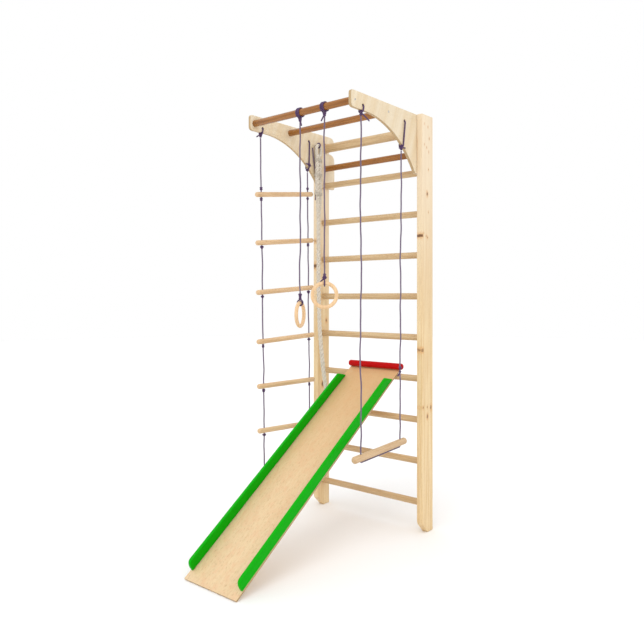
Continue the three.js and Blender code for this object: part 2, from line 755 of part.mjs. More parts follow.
for (const [name, side] of [['left', -1], ['right', 1]]) {
  addPiece(`upright_${name}`, upright(side), 'pine');
  addPiece(`pullup_plate_${name}`, framePlate(side), 'plywood');
  addPiece(`slide_rail_${name}`, slideRail(side), 'green');
  addPiece(`slide_hook_${name}`, slideCheek(side), 'plywood');
  for (const [level, height] of [['lower', angleHeights[0]], ['upper', angleHeights[1]]]) {
    addPiece(`wall_angle_${level}_${name}`, wallAngle(side, height), 'zinc');
    addPiece(`angle_screw_${level}_${name}`, angleScrew(side, height), 'zinc');
  }
  for (const bar of frameBars) {
    addPiece(`bar_screw_${bar.name}_${name}`, barScrew(bar, side), 'zinc');
  }
}

addPiece('top_rail', topRail(), 'rungWood');
for (let row = 2; row <= rungCount; row += 1) {
  addPiece(`rung_${String(row).padStart(2, '0')}`, rung(row), 'rungWood');
}

for (const bar of frameBars) {
  addPiece(`pullup_bar_${bar.name}`, frameBar(bar), 'brownWood');
}

for (const [index, end] of [[0, 'front'], [1, 'rear']]) {
  const front = index === 0;
  addPiece(`ladder_tie_${end}`, plateTie(ladderTies[index], ladderSide), 'rope');
  addPiece(`trapeze_tie_${end}`, plateTie(trapezeTies[index], trapezeSide), 'rope');
  addPiece(`ladder_rope_${end}`, ladderRope(front), 'rope');
}

for (let index = 0; index < ladderFrontHeights.length; index += 1) {
  addPiece(`ladder_rung_${index + 1}`, ladderRung(index), 'rungWood');
}
addPiece('trapeze_bar', trapezeBar(), 'rungWood');
addPiece('trapeze_rope', trapezeRope(), 'rope');

for (const ring of rings) {
  addPiece(`gym_ring_${ring.name}`, gymRing(ring), 'rungWood');
  addPiece(`ring_rope_${ring.name}`, ringRope(ring), 'rope');
}

addPiece('climbing_rope', climbingRope(), 'hemp');
addPiece('climbing_rope_tie', climbingRopeTie(), 'rope');

addPiece('slide_board', slideBoard(), 'slideWood');
addPiece('slide_grip', slideGrip(), 'red');

export default product;
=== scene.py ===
"""Children's climbing wall with a slide: the surface, finish and ropes of every piece, and the stage.

Metres, +Z up. X runs along the wall, -Y points into the room and the origin lies on the wall, at floor
level, midway between the uprights.
"""

import math
from collections import namedtuple

import bpy
import numpy as np
from bpy.props import FloatProperty, FloatVectorProperty, PointerProperty
from mathutils.geometry import tessellate_polygon
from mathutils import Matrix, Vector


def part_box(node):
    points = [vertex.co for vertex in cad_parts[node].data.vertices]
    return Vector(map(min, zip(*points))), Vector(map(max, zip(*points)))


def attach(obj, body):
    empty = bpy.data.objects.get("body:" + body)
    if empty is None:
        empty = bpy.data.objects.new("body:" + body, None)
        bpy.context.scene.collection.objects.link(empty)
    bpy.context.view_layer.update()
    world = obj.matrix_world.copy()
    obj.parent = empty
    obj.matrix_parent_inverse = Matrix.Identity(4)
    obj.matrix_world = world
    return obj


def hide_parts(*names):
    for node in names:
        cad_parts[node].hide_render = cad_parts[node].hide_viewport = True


bl_info = {
    "name": "Climbing wall with a slide",
    "version": (1, 0, 0),
    "blender": (4, 5, 0),
    "location": "3D View > Sidebar > Climbing Wall",
    "description": "Wall bars with a pull-up frame, a rope ladder, rings, a trapeze, a rope and a slide",
    "category": "Object",
}

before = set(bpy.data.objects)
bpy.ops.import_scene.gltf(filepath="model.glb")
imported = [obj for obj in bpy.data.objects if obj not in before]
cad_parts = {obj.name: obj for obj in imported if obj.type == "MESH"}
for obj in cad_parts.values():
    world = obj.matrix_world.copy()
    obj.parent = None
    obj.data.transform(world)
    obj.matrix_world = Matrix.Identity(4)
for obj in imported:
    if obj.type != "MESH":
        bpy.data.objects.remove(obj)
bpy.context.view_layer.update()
SIDES = ("left", "right")
LEVELS = ("lower", "upper")
TAU = 2 * math.pi


def corners(node):
    """Lowest and highest corner of a CAD node."""
    low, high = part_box(node)
    return np.array(low), np.array(high)


def middle(node):
    low, high = corners(node)
    return (low + high) / 2


# ---- sizes that the frame gives ----

PLATE_LOW, PLATE_HIGH = corners("pullup_plate_right")
UPRIGHT_LOW, UPRIGHT_HIGH = corners("upright_right")
RUNG_NODES = [f"rung_{row:02d}" for row in range(2, 11)]
RUNG_RADIUS = (corners("rung_02")[1] - corners("rung_02")[0])[2] / 2
RUNG_Y = middle("rung_02")[1]
RUNG_HALF = corners("rung_02")[1][0]
TOP_RAIL = middle("top_rail")
TOP_RAIL_SIZE = corners("top_rail")[1] - corners("top_rail")[0]
RAIL_RADIUS = TOP_RAIL_SIZE[1] / 2
RAIL_STRAIGHT = (TOP_RAIL_SIZE[2] - TOP_RAIL_SIZE[1]) / 2      # half of the top rail's straight sides
PLATE_X = (PLATE_LOW[0] + PLATE_HIGH[0]) / 2
BARS = {place: middle(f"pullup_bar_{place}") for place in ("front", "middle", "rear")}
BAR_HALF = corners("pullup_bar_front")[1][0]
BOARD_LOW, BOARD_HIGH = corners("slide_board")
SLIDE_PIVOT = middle("rung_07")

# ---- sizes that the pieces share ----

QUARTER = math.pi / 2
UPWARDS = np.array([0, 0, 1])
SEAT_GAP = 0.0003               # between two pieces that touch
ROPE = 0.008
ROPE_RADIUS = ROPE / 2
ROPE_HOLE_GAP = 0.0006          # round a cord in a drilled bar
BRAID_SIDES, BRAID_STRANDS, BRAID_LEAD = 24, 8, 0.030
TIE_HOLE_RADIUS, LOOSE_TIE_HOLE_RADIUS = 0.0084, 0.0046
TIE_BEND = 0.014                # radius of a tie's bends, along the line of the cord
EYE_TIE_BEND = 0.0146
BOARD_THICKNESS = 0.009
BOARD_ABOVE_RUNG = 0.0196       # from the rung's axis to the board's underside
BOARD_FOOT, BOARD_HEAD = -1.568, 0.062      # its ends, up the slope from the rung's axis
CRISP_ANGLE = math.radians(35)  # edges sharper than this are drawn sharp

# ---- the ropes' routes, as they are laid in the frame ----

LADDER_TOPS = {"front": (-0.3627, -0.682, 2.28195), "rear": (-0.3627, -0.268, 2.14111)}
LADDER_FEET = {"front": (-0.3627, -0.646, 0.225), "rear": (-0.3627, -0.242, 0.215)}
LADDER_HEIGHTS = {
    # where each rope passes each rung's axis, from the top
    "front": (1.953, 1.6718, 1.3827, 1.0945, 0.8323, 0.5712, 0.290),
    "rear": (2.003, 1.711, 1.412, 1.112, 0.829, 0.555, 0.275),
}
TRAPEZE_ROUTE = [
    (0.3627, -0.677, 2.28195), (0.3627, -0.678, 0.5053),
    (0.3627, -0.3153, 0.5233), (0.3627, -0.302, 2.16844),
]
TRAPEZE_TOPS = {"front": TRAPEZE_ROUTE[0], "rear": TRAPEZE_ROUTE[3]}
TRAPEZE_TURNS = {"front": TRAPEZE_ROUTE[1], "rear": TRAPEZE_ROUTE[2]}
TRAPEZE_HEIGHTS = {"front": 0.529, "rear": 0.547}
TRAPEZE_JOIN_HEIGHT = 0.948
CLIMBING_X, CLIMBING_Y, EYE_HEIGHT = -0.329, -0.199, 2.318
FOLD_ASIDE = 0.0125             # of each half of the folded climbing rope from its middle
TAIL_X = -0.3485
TAIL_ROUTE = [
    # the loose end of the climbing rope's tie, in Y and Z
    (-0.234, 2.301), (-0.224, 2.226), (-0.209, 2.164), (-0.197, 2.134), (-0.189, 2.084), (-0.201, 2.034),
    (-0.207, 1.973),
]
CLIMBING_ROUTE = [
    (-0.329, 2.259), (-0.329, 2.18), (-0.329, 2.08), (-0.329, 1.96), (-0.329, 1.82), (-0.329, 1.68),
    (-0.329, 1.54), (-0.328, 1.42), (-0.326, 1.32), (-0.323, 1.23), (-0.318, 1.14), (-0.309, 1.05),
    (-0.298, 0.96), (-0.285, 0.87), (-0.271, 0.79), (-0.257, 0.72), (-0.244, 0.65), (-0.235, 0.59),
    (-0.23, 0.54),
]


# ---- surfaces ----

Skin = namedtuple("Skin", "points quads triangles quad_uv triangle_uv")


def line(points, step, soften=0.0):
    """A path through the points with an even step: each coordinate is read off the straight lines
    between the points and then averaged over the length `soften`, which rounds the corners."""
    points = np.array(points, float)
    lengths = np.linalg.norm(np.diff(points, axis=0), axis=1)
    at = np.concatenate([[0], np.cumsum(lengths)])
    count = max(int(round(at[-1] / step)), 2) + 1
    even = np.linspace(0, at[-1], count)
    path = np.stack([np.interp(even, at, axis) for axis in points.T], axis=1)
    reach = int(soften / step / 2)
    if reach < 1:
        return path
    before = 2 * path[0] - path[reach:0:-1]
    after = 2 * path[-1] - path[-2:-reach - 2:-1]
    padded = np.concatenate([before, path, after])
    window = np.ones(2 * reach + 1) / (2 * reach + 1)
    return np.stack([np.convolve(axis, window, "valid") for axis in padded.T], axis=1)


def distances(path):
    """How far along a path each of its points lies."""
    return np.concatenate([[0], np.cumsum(np.linalg.norm(np.diff(path, axis=0), axis=1))])


def wandering(path, reach, phase, still=()):
    """A hanging cord's own slight waves: sums of sines across it, which fade out at both of its ends
    and at the heights where a hole or a knot holds it still."""
    at = distances(path)
    end_fade, held, fade_length = 0.10, 0.02, 0.08
    fade = np.clip(np.minimum(at, at[-1] - at) / end_fade, 0, 1)
    for height in still:
        fade = np.minimum(fade, np.clip((np.abs(path[:, 2] - height) - held) / fade_length, 0, 1))
    fade = fade * fade * (3 - 2 * fade)
    across = np.sin(at * 9.1 + phase) + 0.6 * np.sin(at * 23 + 2.1 * phase) + 0.4 * np.sin(at * 51 + phase)
    out = np.cos(at * 7.3 + 1.7 * phase) + 0.6 * np.sin(at * 19 + 0.6 * phase)
    moved = path.copy()
    moved[:, 0] += reach * fade * across
    moved[:, 1] += reach * fade * out
    return moved


def unit(vectors):
    """The same directions with length one."""
    return vectors / np.linalg.norm(vectors, axis=-1, keepdims=True)


def along(path, radii, up, closed=False):
    """Rings carried along a path. Each ring lies square to the path, its first axis is `up` less its
    share along the path, and its points stand off the path by the radii, one row for each ring."""
    if closed:
        tangent = unit(np.roll(path, -1, axis=0) - np.roll(path, 1, axis=0))
    else:
        tangent = unit(np.gradient(path, axis=0))
    up = np.broadcast_to(np.array(up, float), path.shape)
    first = unit(up - (up * tangent).sum(axis=1, keepdims=True) * tangent)
    second = np.cross(tangent, first)
    angle = np.linspace(0, TAU, radii.shape[1], endpoint=False)
    ring = np.cos(angle)[None, :, None] * first[:, None] + np.sin(angle)[None, :, None] * second[:, None]
    return path[:, None] + radii[:, :, None] * ring


def grid(bands, rows, sides):
    """The quads between neighbouring rings of a grid, and each quad's row and column."""
    row, column = (part.ravel() for part in np.meshgrid(np.arange(bands), np.arange(sides), indexing="ij"))
    below, after = (row + 1) % rows, (column + 1) % sides
    ends = (row * sides + column, row * sides + after, below * sides + after, below * sides + column)
    return np.stack(ends, axis=1), row, column


def skin(rings, closed=False):
    """The surface through a grid of rings: a quad between each pair of neighbours, and a fan to the
    middle of the first and last ring unless the rings run round in a circle. U goes once round a ring
    and V is the distance along the path in metres."""
    rows, sides = rings.shape[:2]
    reach = distances(rings.mean(axis=1))
    if closed:
        last = np.linalg.norm(rings[0].mean(axis=0) - rings[-1].mean(axis=0))
        reach = np.concatenate([reach, [reach[-1] + last]])
    quads, row, column = grid(rows if closed else rows - 1, rows, sides)
    u, next_u, v, next_v = column / sides, column / sides + 1 / sides, reach[row], reach[row + 1]
    places = (u, v), (next_u, v), (next_u, next_v), (u, next_v)
    quad_uv = np.stack([np.stack(place, axis=1) for place in places], axis=1)
    points = rings.reshape(-1, 3)
    if closed:
        return Skin(points, quads, np.empty((0, 3), int), quad_uv, np.empty((0, 3, 2)))
    points = np.concatenate([points, [rings[0].mean(axis=0), rings[-1].mean(axis=0)]])
    around = np.arange(sides)
    ahead = (around + 1) % sides
    first, last = rows * sides, rows * sides + 1
    base = (rows - 1) * sides
    start = np.stack([np.full(sides, first), ahead, around], axis=1)
    end = np.stack([np.full(sides, last), base + around, base + ahead], axis=1)
    triangles = np.concatenate([start, end])
    return Skin(points, quads, triangles, quad_uv, np.zeros((2 * sides, 3, 2)))


def tube(path, radius, up, sides=12, closed=False):
    """A plain round tube along a path."""
    return skin(along(path, np.full((len(path), sides), radius), up, closed), closed=closed)


def braided(path, up, radius=ROPE_RADIUS, closed=False):
    """A braided cord: its radius rises where a strand of either hand passes. A strand's height is the
    cosine of half the strand count times the angle, plus or minus one turn for each lead."""
    reach = distances(path)[:, None] * TAU / BRAID_LEAD
    angle = np.linspace(0, TAU, BRAID_SIDES, endpoint=False)[None, :]
    right = np.abs(np.cos(BRAID_STRANDS / 2 * angle + BRAID_STRANDS / 2 * reach))
    left = np.abs(np.cos(BRAID_STRANDS / 2 * angle - BRAID_STRANDS / 2 * reach))
    radii = radius * (1 - settings().braid_depth * (1 - np.maximum(right, left)))
    return skin(along(path, radii, up, closed), closed=closed)


def laid(path, radius, swell, sides=36):
    """A rope of three laid strands: each strand is a circle off the rope's centre that turns once in
    every lead, and the surface is the outermost of the three at each angle, times the swell there."""
    lead = settings().rope_lead
    strand = radius * 0.53
    offset = radius - strand
    turn = np.linspace(0, TAU, sides, endpoint=False)[None, :] - distances(path)[:, None] * TAU / lead
    apart = np.mod(turn, TAU / 3) - TAU / 6
    radii = offset * np.cos(apart) + np.sqrt(strand ** 2 - (offset * np.sin(apart)) ** 2)
    return skin(along(path, radii * swell[:, None], (0, 1, 0)))


def circle(radius, centre=(0, 0), count=48):
    """Points once round a circle, anticlockwise."""
    angle = np.linspace(0, TAU, count, endpoint=False)
    return np.stack([centre[0] + radius * np.cos(angle), centre[1] + radius * np.sin(angle)], axis=1)


def arc(centre, radius, start, end, count):
    """Points round part of a circle, from one angle to the other."""
    angle = np.linspace(start, end, count)
    return np.stack([centre[0] + radius * np.cos(angle), centre[1] + radius * np.sin(angle)], axis=1)


def bend(start, corner, end, count=8):
    """A quadratic curve from start to end that leans to the corner."""
    t = np.linspace(0, 1, count)[:, None]
    return (1 - t) ** 2 * np.array(start) + 2 * t * (1 - t) * np.array(corner) + t ** 2 * np.array(end)


def set_in(loop, insets):
    """Copies of a closed outline moved to its left by each inset, square to both neighbouring edges."""
    ahead = unit(np.roll(loop, -1, axis=0) - loop)
    left = np.stack([-ahead[:, 1], ahead[:, 0]], axis=1)
    before = np.roll(left, 1, axis=0)
    mitre = (left + before) / (1 + (left * before).sum(axis=1, keepdims=True))
    return loop[None] + insets[:, None, None] * mitre[None]


def walls(rings, heights, offset):
    """The side faces round a stack of outlines."""
    rows, sides = rings.shape[:2]
    heights = np.broadcast_to(heights[:, None], (rows, sides))
    points = np.concatenate([rings, heights[:, :, None]], axis=2).reshape(-1, 3)
    return points, grid(rows - 1, rows, sides)[0] + offset


def cap(loops, indices, height_up):
    """Triangles that fill the first outline less the others, facing up or down."""
    flat = [[(x, y, 0.0) for x, y in loop] for loop in loops]
    found = np.array(tessellate_polygon(flat))
    at = np.concatenate(loops)
    a, b, c = at[found[:, 0]], at[found[:, 1]], at[found[:, 2]]
    area = (b[:, 0] - a[:, 0]) * (c[:, 1] - a[:, 1]) - (b[:, 1] - a[:, 1]) * (c[:, 0] - a[:, 0])
    smallest = 1e-14
    found, area = found[np.abs(area) > smallest], area[np.abs(area) > smallest]
    wrong = (area < 0) == height_up
    found[wrong] = found[wrong][:, ::-1]
    return np.concatenate(indices)[found]


def board(outline, low, high, ease, place, holes=(), pockets=(), steps=4):
    """A flat board. Its outline runs anticlockwise, holes run clockwise, and both are given thickness
    from low to high with a quarter-round edge: at angle a the outline is set in by ease (1 - sin a) and
    lies ease (1 - cos a) inside the face. Pockets are blind holes: an outline, its bottom and the face
    that it opens on. `place` turns the outline's axes and the thickness into the frame's axes."""
    quarter = np.linspace(0, math.pi / 2, steps + 1)
    inset, sunk = ease * (1 - np.sin(quarter)), ease * (1 - np.cos(quarter))
    insets = np.concatenate([inset, inset[::-1]])
    heights = np.concatenate([low + sunk, high - sunk[::-1]])
    points, quads, triangles = [], [], []
    rims = {"low": ([], []), "high": ([], [])}
    count = 0
    for loop in (outline, *holes):
        rings = set_in(loop, insets)
        some, faces = walls(rings, heights, count)
        rims["low"][0].append(rings[0])
        rims["low"][1].append(count + np.arange(len(loop)))
        rims["high"][0].append(rings[-1])
        rims["high"][1].append(count + len(some) - len(loop) + np.arange(len(loop)))
        points.append(some)
        quads.append(faces)
        count += len(some)
    for loop, bottom, face in pockets:
        mouth = low if face == "low" else high
        levels = np.array([min(bottom, mouth), max(bottom, mouth)])
        some, faces = walls(np.stack([loop, loop]), levels, count)
        lower, upper = count + np.arange(len(loop)), count + len(loop) + np.arange(len(loop))
        opening, floor = (lower, upper) if face == "low" else (upper, lower)
        rims[face][0].append(loop)
        rims[face][1].append(opening)
        triangles.append(cap([loop], [floor], face == "high"))
        points.append(some)
        quads.append(faces)
        count += len(some)
    for face, (loops, indices) in rims.items():
        triangles.append(cap(loops, indices, face == "high"))
    placed = place(np.concatenate(points))
    quads, triangles = np.concatenate(quads), np.concatenate(triangles)
    return Skin(placed, quads, triangles, np.zeros((len(quads), 4, 2)), np.zeros((len(triangles), 3, 2)))


def axes(origin, first, second, third):
    """Turns drawn coordinates into the frame: origin plus each coordinate along its own axis."""
    matrix = np.array([first, second, third], float)
    return lambda points: np.array(origin, float) + points @ matrix


ACROSS = axes((0, 0, 0), (0, 1, 0), (0, 0, 1), (1, 0, 0))      # drawn in Y and Z, thick along X


def rod(start, end, radius, ease, steps=6, sides=48):
    """A round rod with eased ends: a round board as thick as the rod is long."""
    start, end = np.array(start, float), np.array(end, float)
    way = unit(end - start)
    aside = unit(np.cross(way, (0, 0, 1) if abs(way[2]) < 0.9 else (0, 1, 0)))
    third = np.cross(way, aside)
    place = axes(start, aside, third, way)
    return board(circle(radius, count=sides), 0, np.linalg.norm(end - start), ease, place, steps=steps)


def knot(centre, turn, size, thickness, radius):
    """An overhand knot: a tube along a trefoil. In the rope's plane it runs as sin t + 2 sin 2t and
    cos t - 2 cos 2t, and it weaves across the plane as the sine of 3t."""
    t = np.linspace(0, TAU, 84, endpoint=False)
    aside = (np.sin(t) + 2 * np.sin(2 * t)) * size / 3
    upward = (np.cos(t) - 2 * np.cos(2 * t)) * size / 3
    out = -np.sin(3 * t) * thickness
    across = np.array([math.cos(turn), math.sin(turn), 0])
    through = np.array([-math.sin(turn), math.cos(turn), 0])
    path = np.array(centre) + aside[:, None] * across + out[:, None] * through + upward[:, None] * UPWARDS
    return tube(path, radius, through, closed=True)


def tail(start, way, length, droop):
    """A short cord end: straight off in its direction, and down by the square of its length."""
    t = np.linspace(0, 1, 16)[:, None]
    way = unit(np.array(way, float))
    path = np.array(start) + t * length * way - t ** 2 * droop * UPWARDS
    up = (0, 1, 0) if abs(way[1]) < 0.8 else (1, 0, 0)
    radii = np.full((len(path), 12), ROPE_RADIUS * 0.95)
    radii[-1] *= 0.7        # the cut end is singed narrower
    return skin(along(path, radii, up))


# ---- pieces ----

def linked(name, data):
    """A new object in the scene."""
    made = bpy.data.objects.new(name, data)
    bpy.context.scene.collection.objects.link(made)
    return made


def joined(skins):
    """Points, quads and triangles of several skins as one mesh."""
    starts = np.cumsum([0] + [len(s.points) for s in skins[:-1]])
    quads = np.concatenate([s.quads + start for s, start in zip(skins, starts)])
    triangles = np.concatenate([s.triangles + start for s, start in zip(skins, starts)])
    return np.concatenate([s.points for s in skins]).tolist(), quads.tolist(), triangles.tolist()


def applied(made):
    """Keeps the result of an object's modifiers as its mesh."""
    finished = bpy.data.meshes.new_from_object(made.evaluated_get(bpy.context.evaluated_depsgraph_get()))
    made.modifiers.clear()
    made.data = finished
    return finished


def piece(name, skins, finish_name, body, slot, *nodes, crisp=False):
    """Puts skins into one mesh, gives it its finish and lets it ride on its body."""
    points, quads, triangles = joined(skins)
    mesh = bpy.data.meshes.new(name)
    mesh.from_pydata(points, [], quads + triangles)
    mesh.polygons.foreach_set("use_smooth", [True] * len(quads) + [False] * len(triangles))
    uv = [s.quad_uv.reshape(-1, 2) for s in skins] + [s.triangle_uv.reshape(-1, 2) for s in skins]
    mesh.uv_layers.new(name="lay").uv.foreach_set("vector", np.concatenate(uv).astype(np.float32).ravel())
    if crisp:
        mesh.set_sharp_from_angle(angle=CRISP_ANGLE)
    mesh.materials.append(finish(finish_name))
    mesh.update()
    made = linked(name, mesh)
    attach(made, body)
    if nodes:
        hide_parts(*nodes)
    return made


def shaped(name, part, finish_name, body, slot, node_name):
    """A hard piece with crisp edges that stands for one CAD node."""
    return piece(name, [part], finish_name, body, slot, node_name, crisp=True)


def drill(made, lines):
    """Cuts the ropes' holes through a bar with a Boolean, and keeps the result as the bar's mesh."""
    radius, ease = ROPE_RADIUS + ROPE_HOLE_GAP, 0.0002
    points, quads, triangles = joined([rod(start, end, radius, ease, sides=24) for start, end in lines])
    mesh = bpy.data.meshes.new("drill")
    mesh.from_pydata(points, [], quads + triangles)
    cutter = linked("drill", mesh)
    modifier = made.modifiers.new("rope holes", "BOOLEAN")
    modifier.object = cutter
    modifier.solver = "EXACT"
    drilled = applied(made)
    drilled.name = made.name
    bpy.data.objects.remove(cutter)
    drilled.set_sharp_from_angle(angle=CRISP_ANGLE)


# ---- node trees ----

def plug(tree, made, inputs):
    """Fills a node's inputs, by name or number: links what another node gives and sets a constant."""
    for key, value in inputs.items():
        if isinstance(value, bpy.types.NodeSocket):
            tree.links.new(value, made.inputs[key])
        else:
            made.inputs[key].default_value = value


def node(tree, kind, inputs, **properties):
    """Adds a node, sets its properties and fills its inputs."""
    made = tree.nodes.new(kind)
    for key, value in properties.items():
        setattr(made, key, value)
    plug(tree, made, inputs)
    return made


def sums(tree, operation, *values):
    """The output of one Math node."""
    return node(tree, "ShaderNodeMath", dict(enumerate(values)), operation=operation).outputs[0]


def vector_sums(tree, operation, *values):
    """The output of one Vector Math node."""
    made = node(tree, "ShaderNodeVectorMath", dict(enumerate(values)), operation=operation)
    return made.outputs["Value" if operation in ("DOT_PRODUCT", "LENGTH") else 0]


def stretch(tree, place, share):
    """A place whose third coordinate runs slower, so that a pattern on it is drawn out."""
    return vector_sums(tree, "MULTIPLY", place, (1.0, 1.0, share))


def ramp(tree, value, low, high, start=0.0, end=1.0):
    """Maps a value from one range to another with smooth ends."""
    inputs = {"Value": value, "From Min": low, "From Max": high, "To Min": start, "To Max": end}
    return node(tree, "ShaderNodeMapRange", inputs, interpolation_type="SMOOTHSTEP").outputs[0]


def mix(tree, share, first, second):
    """Mixes two colours."""
    inputs = {0: share, 6: first, 7: second}
    return node(tree, "ShaderNodeMix", inputs, data_type="RGBA").outputs[2]


def tint(tree, colour, mask, share, other):
    """Mixes another colour in by a share of a mask."""
    return mix(tree, sums(tree, "MULTIPLY", mask, share), colour, other)


def noise(tree, vector, scale, detail=3.0, roughness=0.55):
    """The value of a noise texture."""
    inputs = {"Vector": vector, "Scale": scale, "Detail": detail, "Roughness": roughness}
    return node(tree, "ShaderNodeTexNoise", inputs).outputs[0]


def group(name, inputs, *outputs):
    """An empty shader group with its sockets, and its input and output nodes. It puts out values."""
    tree = bpy.data.node_groups.new(name, "ShaderNodeTree")
    for label, kind in inputs.items():
        tree.interface.new_socket(label, in_out="INPUT", socket_type=kind)
    for label in outputs:
        tree.interface.new_socket(label, in_out="OUTPUT", socket_type=FLOAT)
    return tree, tree.nodes.new("NodeGroupInput").outputs, tree.nodes.new("NodeGroupOutput").inputs


def fill(tree, effect, inputs):
    """Adds a shared effect to a material and gives its outputs."""
    made = tree.nodes.new("ShaderNodeGroup")
    made.node_tree = shared(effect)
    plug(tree, made, inputs)
    return made.outputs


FLOAT, VECTOR = "NodeSocketFloat", "NodeSocketVector"


def grain_group():
    """Wood whose grain runs along Z: long streaks, fine pores and slow clouds of tone."""
    tree, given, out = group(
        "wood grain", {"Vector": VECTOR, "Streak scale": FLOAT}, "Streaks", "Pores", "Clouds")
    squeezed = stretch(tree, given["Vector"], 0.035)
    wobble = noise(tree, stretch(tree, given["Vector"], 0.25), 9.0, 2.0)
    moved = vector_sums(tree, "ADD", squeezed, vector_sums(tree, "SCALE", (0.02, 0.02, 0.0), wobble))
    streaks = noise(tree, moved, given["Streak scale"], 4.0, 0.62)
    tree.links.new(ramp(tree, streaks, 0.30, 0.70), out["Streaks"])
    short = stretch(tree, given["Vector"], 0.06)
    tree.links.new(ramp(tree, noise(tree, short, 1100.0, 1.0), 0.52, 0.72), out["Pores"])
    slow = stretch(tree, given["Vector"], 0.3)
    tree.links.new(ramp(tree, noise(tree, slow, 14.0, 2.0), 0.30, 0.70), out["Clouds"])
    return tree


def layers_group():
    """Plywood's glued layers: stripes across the thickness, shown where the surface is a cut edge."""
    tree, given, out = group(
        "plywood layers", {"Vector": VECTOR, "Normal": VECTOR, "Across": VECTOR, "Layer": FLOAT},
        "Edge", "Layers")
    facing = sums(tree, "ABSOLUTE", vector_sums(tree, "DOT_PRODUCT", given["Normal"], given["Across"]))
    tree.links.new(ramp(tree, facing, 0.80, 0.55), out["Edge"])
    depth = vector_sums(tree, "DOT_PRODUCT", given["Vector"], given["Across"])
    waved = sums(tree, "MULTIPLY", depth, sums(tree, "DIVIDE", TAU / 2, given["Layer"]))
    tree.links.new(ramp(tree, sums(tree, "SINE", waved), -0.5, 0.5), out["Layers"])
    return tree


def knot_group():
    """A branch's knot that runs through a board along X: its dark core and the grain's ring round it."""
    tree, given, out = group(
        "wood knot", {"Vector": VECTOR, "Centre": VECTOR, "Size": FLOAT}, "Core", "Halo")
    apart = vector_sums(tree, "SUBTRACT", given["Vector"], given["Centre"])
    apart = vector_sums(tree, "MULTIPLY", apart, (0.12, 1.0, 0.55))
    wobble = noise(tree, given["Vector"], 180.0, 2.0)
    far = vector_sums(tree, "LENGTH", apart)
    far = sums(tree, "MULTIPLY", far, ramp(tree, wobble, 0.2, 0.8, 0.65, 1.35))
    share = sums(tree, "DIVIDE", far, given["Size"])
    tree.links.new(ramp(tree, share, 1.0, 0.55), out["Core"])
    tree.links.new(ramp(tree, share, 2.4, 0.9), out["Halo"])
    return tree


def yarn_group():
    """Yarns of a cord from its own UV map: lines that wind round it, crossed by a second set if the
    cord is braided, with a fine fibre along them."""
    tree, given, out = group(
        "rope yarns", {"UV": VECTOR, "Around": FLOAT, "Per metre": FLOAT, "Crossed": FLOAT},
        "Height", "Fibre", "Patches")
    split = node(tree, "ShaderNodeSeparateXYZ", {0: given["UV"]}).outputs
    turn = sums(tree, "MULTIPLY", sums(tree, "MULTIPLY", split[0], given["Around"]), TAU / 2)
    reach = sums(tree, "MULTIPLY", sums(tree, "MULTIPLY", split[1], given["Per metre"]), TAU / 2)
    right = sums(tree, "ABSOLUTE", sums(tree, "SINE", sums(tree, "ADD", turn, reach)))
    left = sums(tree, "ABSOLUTE", sums(tree, "SINE", sums(tree, "SUBTRACT", turn, reach)))
    left = sums(tree, "MULTIPLY", left, given["Crossed"])
    tree.links.new(sums(tree, "MAXIMUM", right, left), out["Height"])
    stretched = vector_sums(tree, "MULTIPLY", given["UV"], (9.0, 260.0, 1.0))
    tree.links.new(noise(tree, stretched, 6.0, 3.0), out["Fibre"])
    slow = vector_sums(tree, "MULTIPLY", given["UV"], (1.0, 14.0, 1.0))
    tree.links.new(ramp(tree, noise(tree, slow, 2.0, 2.0), 0.3, 0.7), out["Patches"])
    return tree


def wear_group():
    """Handling marks on a coated surface: faint smears for the roughness and a slow ripple."""
    tree, given, out = group("handling wear", {"Vector": VECTOR}, "Smears", "Ripple")
    tree.links.new(ramp(tree, noise(tree, given["Vector"], 22.0, 5.0, 0.7), 0.35, 0.75), out["Smears"])
    tree.links.new(noise(tree, given["Vector"], 420.0, 2.0), out["Ripple"])
    return tree


GROUP_MAKERS = {
    "grain": grain_group, "layers": layers_group, "knot": knot_group, "yarns": yarn_group,
    "wear": wear_group,
}
shared_groups = {}
finishes = {}


def shared(name):
    """The named effect's group, made the first time it is asked for."""
    if name not in shared_groups:
        shared_groups[name] = GROUP_MAKERS[name]()
    return shared_groups[name]


def blank_material(name):
    """A new material, its nodes, its shader and the places that patterns can read."""
    material = bpy.data.materials.new(name)
    material.use_nodes = True
    tree = material.node_tree
    shader = tree.nodes["Principled BSDF"]
    where = tree.nodes.new("ShaderNodeTexCoord").outputs
    return material, tree, shader, where


def bump(tree, height, distance):
    """A normal with this relief."""
    inputs = {"Height": height, "Distance": distance, "Strength": 1.0}
    return node(tree, "ShaderNodeBump", inputs).outputs[0]


def dim(colour, share=1.0):
    """A colour times a share, with full cover."""
    return tuple(c * share for c in colour[:3]) + (1.0,)


